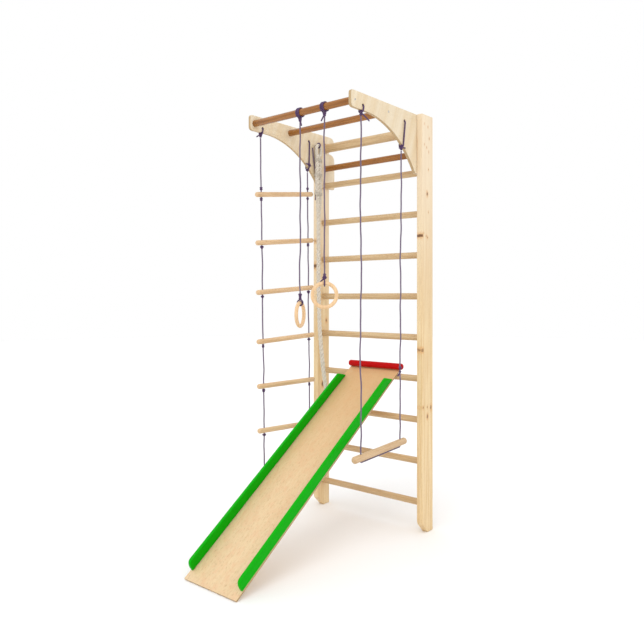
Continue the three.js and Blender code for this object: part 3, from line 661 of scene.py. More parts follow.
def wood(name, light, dark, turn, streak_scale, rough, coat, extra=None):
    """Oiled wood. `turn` lays the grain along the piece, and `extra` may change the colour."""
    material, tree, shader, where = blank_material(name)
    laid_along = node(tree, "ShaderNodeMapping", {"Vector": where["Object"], "Rotation": turn}).outputs[0]
    grain = fill(tree, "grain", {"Vector": laid_along, "Streak scale": streak_scale})
    wear = fill(tree, "wear", {"Vector": where["Object"]})
    colour = mix(tree, grain["Streaks"], dim(light), dim(dark))
    colour = tint(tree, colour, grain["Clouds"], 0.35, dim(dark, 0.93))
    colour = tint(tree, colour, grain["Pores"], 0.35, dim(dark, 0.6))
    height = sums(tree, "SUBTRACT", sums(tree, "MULTIPLY", grain["Streaks"], 0.5), grain["Pores"])
    if extra is not None:
        colour, height = extra(tree, where, colour, height)
    plug(tree, shader, {
        "Base Color": colour, "Roughness": ramp(tree, wear["Smears"], 0, 1, rough, rough + 0.14),
        "Normal": bump(tree, height, 0.00012),
        "Specular IOR Level": 0.3, "Coat Weight": coat, "Coat Roughness": 0.22,
    })
    return material


KNOTS = [
    # centre (X is the middle of the board's thickness) and radius
    ((0.391, -0.094, 2.334), 0.0035), ((0.391, -0.132, 2.345), 0.003), ((0.391, -0.08, 2.269), 0.004),
    ((0.391, -0.107, 2.213), 0.0035), ((0.391, -0.133, 2.227), 0.003), ((0.391, -0.085, 2.19), 0.0035),
    ((0.391, -0.089, 2.088), 0.0035), ((0.391, -0.102, 1.947), 0.0075), ((0.391, -0.089, 1.843), 0.0035),
    ((0.391, -0.062, 0.714), 0.008), ((0.391, -0.102, 0.72), 0.0045), ((0.391, -0.1, 0.667), 0.008),
    ((0.391, -0.146, 0.722), 0.005), ((0.391, -0.149, 1.05), 0.007), ((0.391, -0.152, 1.705), 0.006),
    ((0.391, -0.098, 1.697), 0.0045), ((0.391, -0.114, 1.703), 0.004), ((0.391, -0.138, 1.72), 0.003),
    ((-0.391, -0.149, 1.717), 0.006), ((-0.391, -0.15, 1.555), 0.009), ((-0.391, -0.07, 1.2), 0.007),
    ((-0.391, -0.108, 0.788), 0.011), ((-0.391, -0.089, 1.557), 0.006),
]


def with_knots_and_painted_light(tree, where, colour, height):
    """Pine: painted light that makes it paler towards the top, with orange veins, its knots' orange halos
    and their dark cores.
    """
    core = halo = None
    for centre, size in KNOTS:
        one = fill(tree, "knot", {"Vector": where["Object"], "Centre": centre, "Size": size})
        core = one["Core"] if core is None else sums(tree, "MAXIMUM", core, one["Core"])
        halo = one["Halo"] if halo is None else sums(tree, "MAXIMUM", halo, one["Halo"])
    rise = node(tree, "ShaderNodeSeparateXYZ", {0: where["Object"]}).outputs[2]
    # painted light: from 1.0 m up to 2.3 m the pine turns paler, as the light on the uprights grows brighter
    colour = mix(tree, ramp(tree, rise, 1.0, 2.3, 0.0, 0.7), colour, dim(srgb(240, 224, 200)))
    veins = ramp(tree, noise(tree, stretch(tree, where["Object"], 0.02), 75.0, 3.0, 0.6), 0.60, 0.70)
    colour = tint(tree, colour, veins, 0.35, dim(srgb(206, 158, 98)))
    colour = tint(tree, colour, halo, 0.55, dim(srgb(212, 152, 84)))
    colour = tint(tree, colour, core, 0.9, dim(srgb(104, 66, 34)))
    return colour, sums(tree, "SUBTRACT", height, core)


def with_layers(across, layer, edge_colour, line_colour):
    """Plywood's cut edges: layers across the thickness, in two tones."""
    def add(tree, where, colour, height):
        inputs = {"Vector": where["Object"], "Normal": where["Normal"], "Across": across, "Layer": layer}
        layers = fill(tree, "layers", inputs)
        edge = mix(tree, layers["Layers"], dim(edge_colour), dim(line_colour))
        deeper = sums(tree, "MULTIPLY", sums(tree, "MULTIPLY", layers["Layers"], layers["Edge"]), 1.5)
        return mix(tree, layers["Edge"], colour, edge), sums(tree, "SUBTRACT", height, deeper)
    return add


def slide_face(tree, where, colour, height):
    """The slide's rotary-cut veneer: pinkish blotches along the slope, dark flecks, a tone that deepens
    towards the head, and the layers on its cut edges."""
    turned = {"Vector": where["Object"], "Rotation": UP_THE_SLOPE}
    up_slope = node(tree, "ShaderNodeMapping", turned).outputs[0]
    blotches = ramp(tree, noise(tree, stretch(tree, up_slope, 0.6), 34.0, 5.0, 0.68), 0.40, 0.70)
    colour = tint(tree, colour, blotches, 0.5, dim(srgb(226, 178, 138)))
    flecks = ramp(tree, noise(tree, stretch(tree, up_slope, 0.5), 130.0, 3.0, 0.7), 0.52, 0.76)
    colour = tint(tree, colour, flecks, 0.45, dim(srgb(160, 112, 66)))
    rise = node(tree, "ShaderNodeSeparateXYZ", {0: where["Object"]}).outputs[2]
    colour = mix(tree, ramp(tree, rise, 0.1, 1.0, 0.0, 0.7), colour, dim(srgb(212, 166, 112)))
    return slide_edges(tree, where, colour, height)


def paint(name, colour, rough):
    """Gloss paint over wood: the grain and the brush's ripple show through as relief only."""
    material, tree, shader, where = blank_material(name)
    wear = fill(tree, "wear", {"Vector": where["Object"]})
    grain = fill(tree, "grain", {"Vector": where["Object"], "Streak scale": 120.0})
    height = sums(tree, "ADD", wear["Ripple"], sums(tree, "MULTIPLY", grain["Streaks"], 0.6))
    plug(tree, shader, {
        "Base Color": tint(tree, dim(colour), wear["Smears"], 0.5, dim(colour, 0.86)),
        "Roughness": ramp(tree, wear["Smears"], 0, 1, rough, rough + 0.12),
        "Normal": bump(tree, height, 0.00008),
        "Specular IOR Level": 0.1, "Coat Weight": 0.03, "Coat Roughness": 0.25,
    })
    return material


def rope_finish(name, light, dark, around, per_metre, crossed, relief):
    """Cord of twisted yarns in two tones: lighter on the yarns' backs and darker between them, where the
    dark is painted shade in the grooves.
    """
    material, tree, shader, _ = blank_material(name)
    uv = node(tree, "ShaderNodeUVMap", {}, uv_map="lay").outputs[0]
    inputs = {"UV": uv, "Around": around, "Per metre": per_metre, "Crossed": crossed}
    yarns = fill(tree, "yarns", inputs)
    # painted shade: the colour follows the yarns' height, down to three quarters of the dark tone at the
    # bottom of the grooves
    colour = mix(tree, ramp(tree, yarns["Height"], 0.35, 0.95), dim(dark, 0.75), dim(light))
    colour = tint(tree, colour, yarns["Patches"], 0.45, dim(dark))
    colour = tint(tree, colour, yarns["Fibre"], 0.3, dim(light, 1.15))
    height = sums(tree, "ADD", yarns["Height"], sums(tree, "MULTIPLY", yarns["Fibre"], 0.5))
    plug(tree, shader, {
        "Base Color": colour, "Roughness": ramp(tree, yarns["Fibre"], 0.2, 0.8, 0.78, 0.95),
        "Normal": bump(tree, height, relief), "Sheen Weight": 0.25, "Sheen Roughness": 0.5,
    })
    return material


def metal(name, colour):
    """Zinc plate: bright, with cloudy roughness."""
    material, tree, shader, where = blank_material(name)
    wear = fill(tree, "wear", {"Vector": where["Object"]})
    plug(tree, shader, {
        "Base Color": mix(tree, wear["Smears"], dim(colour), dim(colour, 0.8)),
        "Roughness": ramp(tree, wear["Smears"], 0, 1, 0.28, 0.45),
        "Normal": bump(tree, wear["Ripple"], 0.00002), "Metallic": 1.0,
    })
    return material


def srgb(red, green, blue):
    """A colour given in the usual 0 to 255 steps, in linear light."""
    steps = np.array([red, green, blue]) / 255
    linear = np.where(steps <= 0.04045, steps / 12.92, ((steps + 0.055) / 1.055) ** 2.4)
    return tuple(float(c) for c in linear)


def slide_slope():
    """The slide's angle, found by steps: the board's underside starts over the rung and its end face
    stands on the floor, so that the foot lies the board's thickness times the sine in from the end."""
    height = SLIDE_PIVOT[2]
    angle = math.atan2(height, SLIDE_PIVOT[1] - BOARD_LOW[1])
    for _ in range(12):
        run = SLIDE_PIVOT[1] - BOARD_LOW[1] - BOARD_THICKNESS * math.sin(angle)
        angle = math.atan2(height, run) + math.asin(BOARD_ABOVE_RUNG / math.hypot(height, run))
    return angle


SLOPE = slide_slope()
UP_SLOPE = np.array([0, math.cos(SLOPE), math.sin(SLOPE)])
OFF_SLOPE = np.array([0, -math.sin(SLOPE), math.cos(SLOPE)])


def size_setting(name, description, metres):
    """A length that a user may change."""
    return FloatProperty(name=name, description=description, default=metres, unit="LENGTH")


def colour_setting(name, description, *steps):
    """A colour that a user may change, with its red, green and blue from 0 to 255."""
    return FloatVectorProperty(name=name, description=description, default=srgb(*steps), subtype="COLOR")


class ClimbingSettings(bpy.types.PropertyGroup):
    """Sizes and colours that a user may change."""

    upright_ease: size_setting("Upright edge", "Radius of the uprights' eased edges", 0.003)
    plate_ease: size_setting("Plate edge", "Radius of the pull-up plates' eased edges", 0.0025)
    rail_ease: size_setting("Rail edge", "Radius of the slide rails' eased edges", 0.004)
    bar_ease: size_setting("Bar end", "Radius of the round ends of loose bars", 0.011)
    braid_depth: FloatProperty(
        name="Braid depth", description="Depth between a cord's strands, as a share of its radius",
        default=0.12, subtype="FACTOR")
    rope_lead: size_setting("Rope lead", "Length of one turn of the climbing rope's strands", 0.085)
    pine_light: colour_setting("Pine, light", "Pine between its growth rings", 240, 216, 172)
    pine_dark: colour_setting("Pine, dark", "Pine's growth rings", 222, 188, 136)
    rung_light: colour_setting("Rung, light", "Light grain of the fixed rungs", 218, 192, 150)
    rung_dark: colour_setting("Rung, dark", "Dark grain of the fixed rungs", 196, 162, 118)
    toy_light: colour_setting(
        "Loose bars, light", "Light grain of the ladder, rings and trapeze", 234, 202, 160)
    toy_dark: colour_setting(
        "Loose bars, dark", "Dark grain of the ladder, rings and trapeze", 212, 174, 130)
    brown_light: colour_setting("Stained bar, light", "Light grain of the pull-up bars", 180, 120, 54)
    brown_dark: colour_setting("Stained bar, dark", "Dark grain of the pull-up bars", 134, 80, 22)
    ply_light: colour_setting("Plywood, light", "Face of the pull-up plates", 238, 224, 198)
    ply_dark: colour_setting("Plywood, dark", "Grain of the pull-up plates", 228, 206, 170)
    slide_light: colour_setting("Slide board, light", "Face of the slide", 232, 206, 166)
    slide_dark: colour_setting("Slide board, dark", "Grain of the slide", 226, 196, 152)
    green: colour_setting("Rails", "Paint of the slide's rails", 0, 168, 0)
    red: colour_setting("Grip", "Paint of the slide's grip", 188, 0, 4)
    # The dark tones of the cord and the rope lie in the grooves between strands as painted shade, and in
    # slow patches.
    cord_light: colour_setting("Cord, light", "Backs of the purple cord's strands", 122, 104, 128)
    cord_dark: colour_setting("Cord, dark", "Between the purple cord's strands", 72, 56, 84)
    # Knots and windings are the same purple cord in darker tones: painted shade for the shade in their tight
    # turns.
    shaded_knot_light: colour_setting("Knot, light", "Backs of the strands in knots and windings", 88, 56, 104)
    shaded_knot_dark: colour_setting("Knot, dark", "Between the strands in knots and windings", 44, 26, 58)
    # the climbing rope's dark tone likewise: painted shade in the grooves between its strands, and patches
    rope_light: colour_setting("Rope, light", "Strands of the climbing rope", 240, 232, 218)
    rope_dark: colour_setting("Rope, dark", "Between the climbing rope's strands", 204, 192, 172)
    zinc: colour_setting("Fittings", "Zinc of the screws and wall angles", 196, 198, 202)


def settings():
    """The scene's own sizes and colours."""
    return bpy.context.scene.climbing_wall


def finish(name):
    """The named material, made the first time it is asked for."""
    if name not in finishes:
        finishes[name] = FINISH_MAKERS[name](settings())
    return finishes[name]


ALONG_X, ALONG_Y, ALONG_Z = (0.0, QUARTER, 0.0), (QUARTER, 0.0, 0.0), (0.0, 0.0, 0.0)
UP_THE_SLOPE = (QUARTER - SLOPE, 0.0, 0.0)
PLATE_GRAIN = (0.35, 0.0, 0.0)
plate_edges = with_layers((1.0, 0.0, 0.0), 0.0026, srgb(222, 196, 152), srgb(150, 118, 80))
slide_edges = with_layers(tuple(OFF_SLOPE), 0.0023, srgb(204, 176, 132), srgb(142, 108, 72))
FINISH_MAKERS = {
    # woods: colours, the grain's direction and scale, roughness, coat and what is added
    "pine": lambda s: wood("pine", s.pine_light, s.pine_dark, ALONG_Z, 55.0, 0.42, 0.15, with_knots_and_painted_light),
    "rung": lambda s: wood("rung_beech", s.rung_light, s.rung_dark, ALONG_X, 130.0, 0.38, 0.2),
    "toy": lambda s: wood("toy_beech", s.toy_light, s.toy_dark, ALONG_Y, 150.0, 0.36, 0.25),
    "ring": lambda s: wood(
        "ring_beech", dim(s.toy_light, 1.12), dim(s.toy_dark, 1.15), ALONG_Z, 150.0, 0.36, 0.15),
    "swing": lambda s: wood(
        "trapeze_beech", dim(s.toy_light, 0.85), dim(s.toy_dark, 0.85), ALONG_Y, 150.0, 0.4, 0.1),
    "brown": lambda s: wood("stained_wood", s.brown_light, s.brown_dark, ALONG_X, 110.0, 0.32, 0.35),
    "plate": lambda s: wood(
        "birch_plate", s.ply_light, s.ply_dark, PLATE_GRAIN, 26.0, 0.42, 0.15, plate_edges),
    "slide": lambda s: wood(
        "birch_slide", s.slide_light, s.slide_dark, UP_THE_SLOPE, 260.0, 0.34, 0.12, slide_face),
    "hook": lambda s: wood(
        "birch_hook", s.ply_light, s.ply_dark, UP_THE_SLOPE, 40.0, 0.45, 0.1, plate_edges),
    "green": lambda s: paint("green_gloss", s.green, 0.30),
    "red": lambda s: paint("red_gloss", s.red, 0.28),
    # ropes: colours, yarns round and along each metre, whether they cross, and relief
    "cord": lambda s: rope_finish("purple_cord", s.cord_light, s.cord_dark, 16.0, 533.0, 1.0, 0.0003),
    # the purple cord again in darker tones: painted shade on knots, windings, loops and cord ends
    "knot": lambda s: rope_finish("purple_cord_painted_shade", s.shaded_knot_light, s.shaded_knot_dark, 16.0, 533.0, 1.0, 0.0003),
    "rope": lambda s: rope_finish("climbing_rope", s.rope_light, s.rope_dark, 24.0, 260.0, 0.0, 0.0006),
    "band": lambda s: rope_finish(
        "rope_binding", dim(s.rope_light, 0.85), dim(s.rope_dark, 0.75), 6.0, 300.0, 0.0, 0.0002),
    "zinc": lambda s: metal("zinc_plate", s.zinc),
}


# ---- stage and camera ----

LENS, SENSOR_WIDTH, SHIFT_DOWN = 36.475, 36.0, 0.0396
CAMERA_PLACE, CAMERA_ROUND = (2.365, -3.365, 1.357), math.radians(40.09)
FLOOR_RADIUS, FLOOR_SIDES, FLOOR_DROP = 18.0, 64, 0.0004
FLOOR_TONES = (0.93, 0.93, 0.93, 1.0), (0.95, 0.95, 0.95, 1.0)
# each lamp's strength and turn in degrees
LAMPS = {"key": (0.65, (35, 0, 15)), "fill": (0.15, (55, 0, 75))}
LAMP_SPREAD = math.radians(35)


class CLIMB_OT_camera(bpy.types.Operator):
    """Puts the camera in the room, level, to the right of the wall bars"""

    bl_idname = "climb.camera"
    bl_label = "Camera"

    def execute(self, context):
        camera = bpy.data.cameras.new("camera")
        camera.lens, camera.sensor_width, camera.shift_y = LENS, SENSOR_WIDTH, -SHIFT_DOWN
        made = linked("camera", camera)
        made.location = CAMERA_PLACE
        made.rotation_euler = (QUARTER, 0.0, CAMERA_ROUND)
        context.scene.camera = made
        return {"FINISHED"}


class CLIMB_OT_stage(bpy.types.Operator):
    """Lays the pale floor and sets soft studio light"""

    bl_idname = "climb.stage"
    bl_label = "Stage"

    def execute(self, context):
        ring = circle(FLOOR_RADIUS, count=FLOOR_SIDES)
        mesh = bpy.data.meshes.new("floor")
        points = np.concatenate([ring, np.full((FLOOR_SIDES, 1), -FLOOR_DROP)], axis=1)
        mesh.from_pydata(points.tolist(), [], [list(range(FLOOR_SIDES))])
        floor = linked("floor", mesh)
        material, tree, shader, where = blank_material("pale_floor")
        cloud = noise(tree, where["Object"], 1.5, 2.0)
        plug(tree, shader, {"Base Color": mix(tree, cloud, *FLOOR_TONES), "Roughness": 0.9})
        mesh.materials.append(material)
        world = bpy.data.worlds.new("studio")
        world.use_nodes = True
        plug(world.node_tree, world.node_tree.nodes["Background"], {
            "Color": (1.0, 1.0, 1.0, 1.0), "Strength": 1.0})
        context.scene.world = world
        for name, (strength, turn) in LAMPS.items():
            lamp = bpy.data.lights.new(name, "SUN")
            lamp.energy, lamp.angle = strength, LAMP_SPREAD
            linked(name, lamp).rotation_euler = tuple(math.radians(a) for a in turn)
        context.scene.view_settings.view_transform = "Standard"
        return {"FINISHED"}


# ---- ropes ----

def cord_piece(name, body, path, *nodes):
    """A braided cord along its path."""
    return piece(name, [braided(path, (1, 0, 0))], "cord", body, "purple_rope", *nodes)


def knots_piece(name, body, skins, *nodes):
    """Knots, windings and cord ends in one mesh, in the darker purple that paints their shade."""
    return piece(name, skins, "knot", body, "purple_rope", *nodes)


def point_at(path, height):
    """The point of a falling path at a height."""
    order = np.argsort(path[:, 2])
    return np.array([np.interp(height, path[order, 2], path[order, axis]) for axis in range(3)])


# knots, each by its trefoil's size, its weave and its strand's radius
LADDER_KNOT = (0.0080, 0.0036, 0.0037)
JOIN_KNOT = (0.0062, 0.0030, 0.0034)
HITCH = (0.0078, 0.0036, 0.0037)
RING_KNOTS = ((0.0086, 0.0040, 0.0039), (0.0078, 0.0040, 0.0038))
TIE_KNOT, TIE_TOP_KNOT = (0.0080, 0.0040, 0.0037), (0.0085, 0.0040, 0.0039)
FLAT_KNOT = (0.0088, 0.0010, 0.0037)
STOPPER_KNOT = (0.0085, 0.0038, 0.0038)
KNOT_DROP, FIRST_KNOT_RISE = 0.027, 0.035       # from a ladder rung's axis to the knots that hold it


class CLIMB_OT_ladder_ropes(bpy.types.Operator):
    """Hangs the rope ladder's two cords and ties their knots"""

    bl_idname = "climb.ladder_ropes"
    bl_label = "Ladder ropes"

    def execute(self, context):
        for index, end in enumerate(("front", "rear")):
            path = line([LADDER_TOPS[end], LADDER_FEET[end]], 0.002)
            path = wandering(path, 0.0015, 1.3 + index, LADDER_HEIGHTS[end])
            rope = cord_piece(f"ladder_cord_{end}", "rope_ladder", path, f"ladder_rope_{end}")
            skins = []
            for rung, height in enumerate(LADDER_HEIGHTS[end]):
                for drop in (KNOT_DROP,) if rung else (KNOT_DROP, -FIRST_KNOT_RISE):
                    at = point_at(path, height - drop)
                    skins.append(knot(at, 0.9 * rung + 2 * index, *LADDER_KNOT))
            skins.append(tail(path[-1] + (0, 0, 0.002), (0.1, -0.1, -1), 0.012, 0.0))
            knots_piece(f"ladder_knots_{end}", "rope_ladder", skins)
        return {"FINISHED"}


class CLIMB_OT_trapeze_rope(bpy.types.Operator):
    """Hangs the trapeze's rope: down, along the bar's underside and up again"""

    bl_idname = "climb.trapeze_rope"
    bl_label = "Trapeze rope"

    def execute(self, context):
        path = wandering(line(TRAPEZE_ROUTE, 0.002, soften=0.014), 0.0020, 0.4, (0.51, 0.55))
        rope = cord_piece("trapeze_cord", "trapeze", path, "trapeze_rope")
        rear_leg = path[path[:, 1] > -0.33]
        at = point_at(rear_leg, TRAPEZE_JOIN_HEIGHT)
        knots_piece("trapeze_join", "trapeze", [
            knot(at + (0.002, 0, 0.012), 0.4, *JOIN_KNOT),
            knot(at + (0.001, 0, -0.008), 1.9, *JOIN_KNOT),
            tail(at + (0, 0, -0.016), (-0.5, -0.3, -0.8), 0.020, 0.004),
        ])
        return {"FINISHED"}


RINGS = {"left": math.radians(113), "right": math.radians(40)}      # which way each ring faces
RING_TUBE = 0.010
RING_LOOP = 0.0152
WINDINGS = 3
HITCH_DROP = 0.018              # from the windings to where their ends meet


def winding_path(x, bar):
    """The cord wound on a bar: up from its hitch, round by a helix and down again. On the helix the
    angle grows evenly and the cord moves along by its own thickness at each turn."""
    radius = RUNG_RADIUS + 0.0002 + ROPE_RADIUS
    turn = np.linspace(-QUARTER, -QUARTER + WINDINGS * TAU, WINDINGS * 40)
    shift = np.linspace(-1, 1, len(turn)) * WINDINGS / 2 * ROPE * 1.02
    helix = np.stack([x + shift, bar[1] - radius * np.cos(turn), bar[2] + radius * np.sin(turn)], axis=1)
    hitch = np.array([x, bar[1], bar[2] - radius - HITCH_DROP])
    lead_in = bend(hitch + (-0.004, 0, 0), helix[0] + (-0.002, 0.006, -0.006), helix[0], 12)
    lead_out = bend(helix[-1], helix[-1] + (0.002, -0.006, -0.006), hitch + (0.004, 0, 0), 12)
    return np.concatenate([lead_in[:-1], helix, lead_out[1:]])


class CLIMB_OT_ring_ropes(bpy.types.Operator):
    """Winds the rings' cords on the front bar and ties them round the rings"""

    bl_idname = "climb.ring_ropes"
    bl_label = "Ring ropes"

    def execute(self, context):
        bar = BARS["front"]
        for side, facing in RINGS.items():
            x, ring_top = middle(f"gym_ring_{side}")[0], corners(f"gym_ring_{side}")[1][2] - RING_TUBE
            start = np.array([x, bar[1], bar[2] - RUNG_RADIUS - 0.0045])
            end = np.array([x, bar[1], ring_top + RING_LOOP])
            path = wandering(line([start, end], 0.002), 0.0020, 2.2 + x * 9)
            rope = cord_piece(f"ring_cord_{side}", f"ring_drop_{side}", path, f"ring_rope_{side}")
            around = circle(RING_LOOP, count=60)
            across = np.array([math.sin(facing), -math.cos(facing), 0])
            loop = np.array([x, bar[1], ring_top]) + around[:, :1] * across + around[:, 1:] * UPWARDS
            normal = (math.cos(facing), math.sin(facing), 0)
            lean = 1 if side == "left" else -1
            hitch = np.array([x, bar[1], bar[2] - 0.040])
            skins = [
                braided(winding_path(x, bar), (1, 0.01, 0.02), ROPE_RADIUS * 0.97),
                braided(loop, normal, closed=True),
                knot(hitch, 0.3, *HITCH),
                tail(hitch, (0.55 * lean, -0.25, -1), 0.036, 0.004),
                knot(end + (0, 0, 0.012), facing + 0.4, *RING_KNOTS[0]),
                knot(end + (0, 0, 0.026), facing + 1.8, *RING_KNOTS[1]),
                tail(end + (0, 0, 0.010), (0.8 * lean, -0.3, -0.5), 0.030, 0.008),
            ]
            knots_piece(f"ring_windings_{side}", f"ring_drop_{side}", skins)
        return {"FINISHED"}


FALL_RADIUS, FOLD_RADIUS, EYE_CORD_RADIUS = 0.0137, 0.0132, 0.0105
EYE_HALF_WIDTH, EYE_HALF_HEIGHT = 0.020, 0.035
FOLD_HEIGHTS = 2.256, 2.20, 1.98, 1.84      # where the folded end leaves the eye, parts, and dies away
BINDINGS = ((2.225, 0.011), (2.13, 0.013), (2.01, 0.013))       # height, and how far it reaches aside
BINDING_TURNS, BINDING_PITCH, BINDING_RADIUS, TWINE_RADIUS = 5, 0.0034, 0.0151, 0.0018


class CLIMB_OT_climbing_rope(bpy.types.Operator):
    """Hangs the thick laid rope from its spliced eye"""

    bl_idname = "climb.climbing_rope"
    bl_label = "Climbing rope"

    def execute(self, context):
        path = line([(x, CLIMBING_Y, z) for x, z in CLIMBING_ROUTE], 0.004, soften=0.06)
        path[:, 1] -= FOLD_ASIDE * np.clip((path[:, 2] - 1.80) / 0.30, 0, 1) ** 1.5
        fall = laid(path, FALL_RADIUS, 1.0 + 0.03 * np.sin(distances(path) * 11))
        rope = self.white("climbing_rope_fall", [fall], "rope", "climbing_rope")
        upper = arc((0, EYE_HEIGHT - EYE_HALF_WIDTH), EYE_HALF_WIDTH, math.pi, 0, 24)
        lower = arc((0, EYE_HEIGHT - 2 * EYE_HALF_HEIGHT + EYE_HALF_WIDTH), EYE_HALF_WIDTH, 0, -math.pi, 24)
        y, z = np.concatenate([upper, lower]).T
        eye = np.stack([np.full(len(y), CLIMBING_X), CLIMBING_Y + y, z], axis=1)
        eye = line(np.concatenate([eye, eye[:1]]), 0.003)[:-1]
        asides = (0.004, FOLD_ASIDE, FOLD_ASIDE, 0.008)
        fold = [(CLIMBING_X, CLIMBING_Y + aside, height) for aside, height in zip(asides, FOLD_HEIGHTS)]
        fold = line(fold, 0.004, soften=0.05)
        thin = 1 - 0.55 * np.clip((distances(fold) - 0.30) / 0.12, 0, 1) ** 1.5
        skins = [tube(eye, EYE_CORD_RADIUS, (1, 0, 0), sides=24, closed=True), laid(fold, FOLD_RADIUS, thin)]
        folded = self.white("climbing_rope_eye", skins, "rope")
        bound = self.white("climbing_rope_bands", [self.band(*binding) for binding in BINDINGS], "band")
        return {"FINISHED"}

    @staticmethod
    def white(name, skins, finish_name, *nodes):
        """A part of the white rope."""
        return piece(name, skins, finish_name, "climb_rope", "white_rope", *nodes)

    @staticmethod
    def band(height, aside):
        """Twine wound round both parts of the folded rope: the turns follow an oval whose straight
        sides join the two parts."""
        turn = np.linspace(0, BINDING_TURNS * TAU, 48 * BINDING_TURNS)
        x = CLIMBING_X + np.sin(turn) * BINDING_RADIUS
        y = CLIMBING_Y + np.clip(np.cos(turn) * 1.6, -1, 1) * aside + np.cos(turn) * BINDING_RADIUS
        z = height + (turn / TAU - BINDING_TURNS / 2) * BINDING_PITCH
        return tube(np.stack([x, y, z], axis=1), TWINE_RADIUS, (0, 0.01, 1), sides=8)


def tie_path(foot, hole, bend_radius):
    """The closed line of a tie: half a circle through the hole, straight down both faces of the plate
    and half a circle under the edge."""
    way = unit(foot - hole)
    aside = np.array([1.0, 0, 0])
    half = arc((0, 0), bend_radius, math.pi, 0, 20)
    upper = hole + half[:, :1] * aside - (half[:, 1:] - bend_radius) * way
    lower = foot + half[::-1, :1] * aside + (half[::-1, 1:] - bend_radius) * way
    ends = np.concatenate([upper, lower])
    return line(np.concatenate([ends, ends[:1]]), 0.0025)[:-1], np.cross(aside, way)


TIES = {
    # the tie's foot under the edge, the middle of its bend in the hole, and its two cord ends: the
    # way each one points and its length
    "ladder_tie_front": (
        (-0.682, 2.300), (-0.672, 2.3406), ((0.15, -1.0, -0.35), 0.040), ((0.2, 0.3, -0.9), 0.012)),
    "ladder_tie_rear": (
        (-0.268, 2.1592), (-0.262, 2.3396), ((0.0, -1.0, 0.15), 0.034), ((0.0, 1.0, -0.3), 0.018)),
    "trapeze_tie_front": (
        (-0.677, 2.300), (-0.668, 2.3406), ((0.25, 0.95, -0.45), 0.062), ((0.3, -1, 0.1), 0.018)),
    "trapeze_tie_rear": (
        (-0.302, 2.1865), (-0.280, 2.3396), ((0.45, 0.9, 0.1), 0.028), ((-0.3, -1, -0.2), 0.016)),
}


class CLIMB_OT_plate_ties(bpy.types.Operator):
    """Ties the ladder and the trapeze through the plates"""

    bl_idname = "climb.plate_ties"
    bl_label = "Ties"

    def execute(self, context):
        for index, (name, (foot, hole, *ends)) in enumerate(TIES.items()):
            x = -PLATE_X if name.startswith("ladder") else PLATE_X
            path, normal = tie_path(np.array((x, *foot)), np.array((x, *hole)), TIE_BEND)
            under = np.array([x, foot[0], foot[1] - 0.004])
            skins = [braided(path, normal, closed=True), knot(under, 0.5 + index, *TIE_KNOT)]
            if name == "ladder_tie_rear":
                # a flat knot on the plate's face, clear of the climbing rope's swing
                centre = under + (TIE_BEND - 0.0003, 0.001, 0.034)
                skins.append(knot(centre, QUARTER, *FLAT_KNOT))
            else:
                centre = under + (0.0, 0.0, 0.004)
                skins.append(knot(centre + (0.002, 0.001, 0.006), 1.9 + index, *TIE_TOP_KNOT))
            skins += [tail(centre, way, length, length * 0.15) for way, length in ends]
            knots_piece(name + "_loop", "wall_bars", skins, name)
        self.rope_tie()
        return {"FINISHED"}

    @staticmethod
    def rope_tie():
        """The cord that holds the climbing rope: round its eye, through the plate to a stopper knot."""
        around = circle(EYE_TIE_BEND, count=60)
        x, y, z = CLIMBING_X + around[:, 0], np.full(len(around), CLIMBING_Y), EYE_HEIGHT + around[:, 1]
        loop = np.stack([x, y, z], axis=1)
        outside = corners("pullup_plate_left")[0][0]
        stopper = np.array([outside - 0.012, CLIMBING_Y, EYE_HEIGHT])
        through = line([(CLIMBING_X - EYE_TIE_BEND, *stopper[1:]), (outside - 0.006, *stopper[1:])], 0.002)
        knots = knots_piece("rope_tie_loop", "wall_bars", [
            braided(loop, (0, 1, 0), closed=True), braided(through, (0, 1, 0)),
            knot(stopper, QUARTER, *STOPPER_KNOT), tail(stopper, (-0.3, 0.2, -1), 0.030, 0.0),
        ], "climbing_rope_tie")
        path = line([(TAIL_X, y, z) for y, z in TAIL_ROUTE], 0.002, soften=0.05)
        cord_piece("rope_tie_end", "wall_bars", path)


# ---- wall bars ----

SOCKET_DEPTH = 0.0203
FOOT_CUT, FOOT_DEPTH = 0.078, 0.056     # height of the front foot's cut, and the foot's depth left
CUT_START, CUT_END = (0.0, 0.056), (0.016, 0.042)       # where the curve over the cut leans and ends


def upright_outline():
    """An upright in Y and Z: the rounded cut in front of its foot, and three square corners."""
    back, front, top = UPRIGHT_HIGH[1], UPRIGHT_LOW[1], UPRIGHT_HIGH[2]
    curve = bend((front, FOOT_CUT), (front + CUT_START[0], CUT_START[1]), (front + CUT_END[0], CUT_END[1]))
    rest = np.array([(back - FOOT_DEPTH, 0.0), (back, 0.0), (back, top), (front, top)])
    return np.concatenate([curve, rest])


def stadium(centre, half_straight, radius):
    """Two half circles joined by straight sides, anticlockwise in Y and Z."""
    upper = arc((centre[0], centre[1] + half_straight), radius, 0, math.pi, 24)
    lower = arc((centre[0], centre[1] - half_straight), radius, math.pi, TAU, 24)
    return np.concatenate([upper, lower])


class CLIMB_OT_uprights(bpy.types.Operator):
    """Planes the two uprights, with their eased edges and sockets for the rungs"""

    bl_idname = "climb.uprights"
    bl_label = "Uprights"

    def execute(self, context):
        for side in SIDES:
            low, high = corners(f"upright_{side}")
            face, bottom = "low", low[0] + SOCKET_DEPTH
            if side == "left":
                face, bottom = "high", high[0] - SOCKET_DEPTH
            sockets = [circle(RUNG_RADIUS + SEAT_GAP, (RUNG_Y, middle(n)[2])) for n in RUNG_NODES]
            sockets.append(stadium(TOP_RAIL[1:], RAIL_STRAIGHT, RAIL_RADIUS + SEAT_GAP))
            pockets = [(socket[::-1], bottom, face) for socket in sockets]
            made = board(
                upright_outline(), low[0], high[0], settings().upright_ease, ACROSS, pockets=pockets)
            shaped(f"upright_{side}_pine", made, "pine", "wall_bars", "pine", f"upright_{side}")
        return {"FINISHED"}


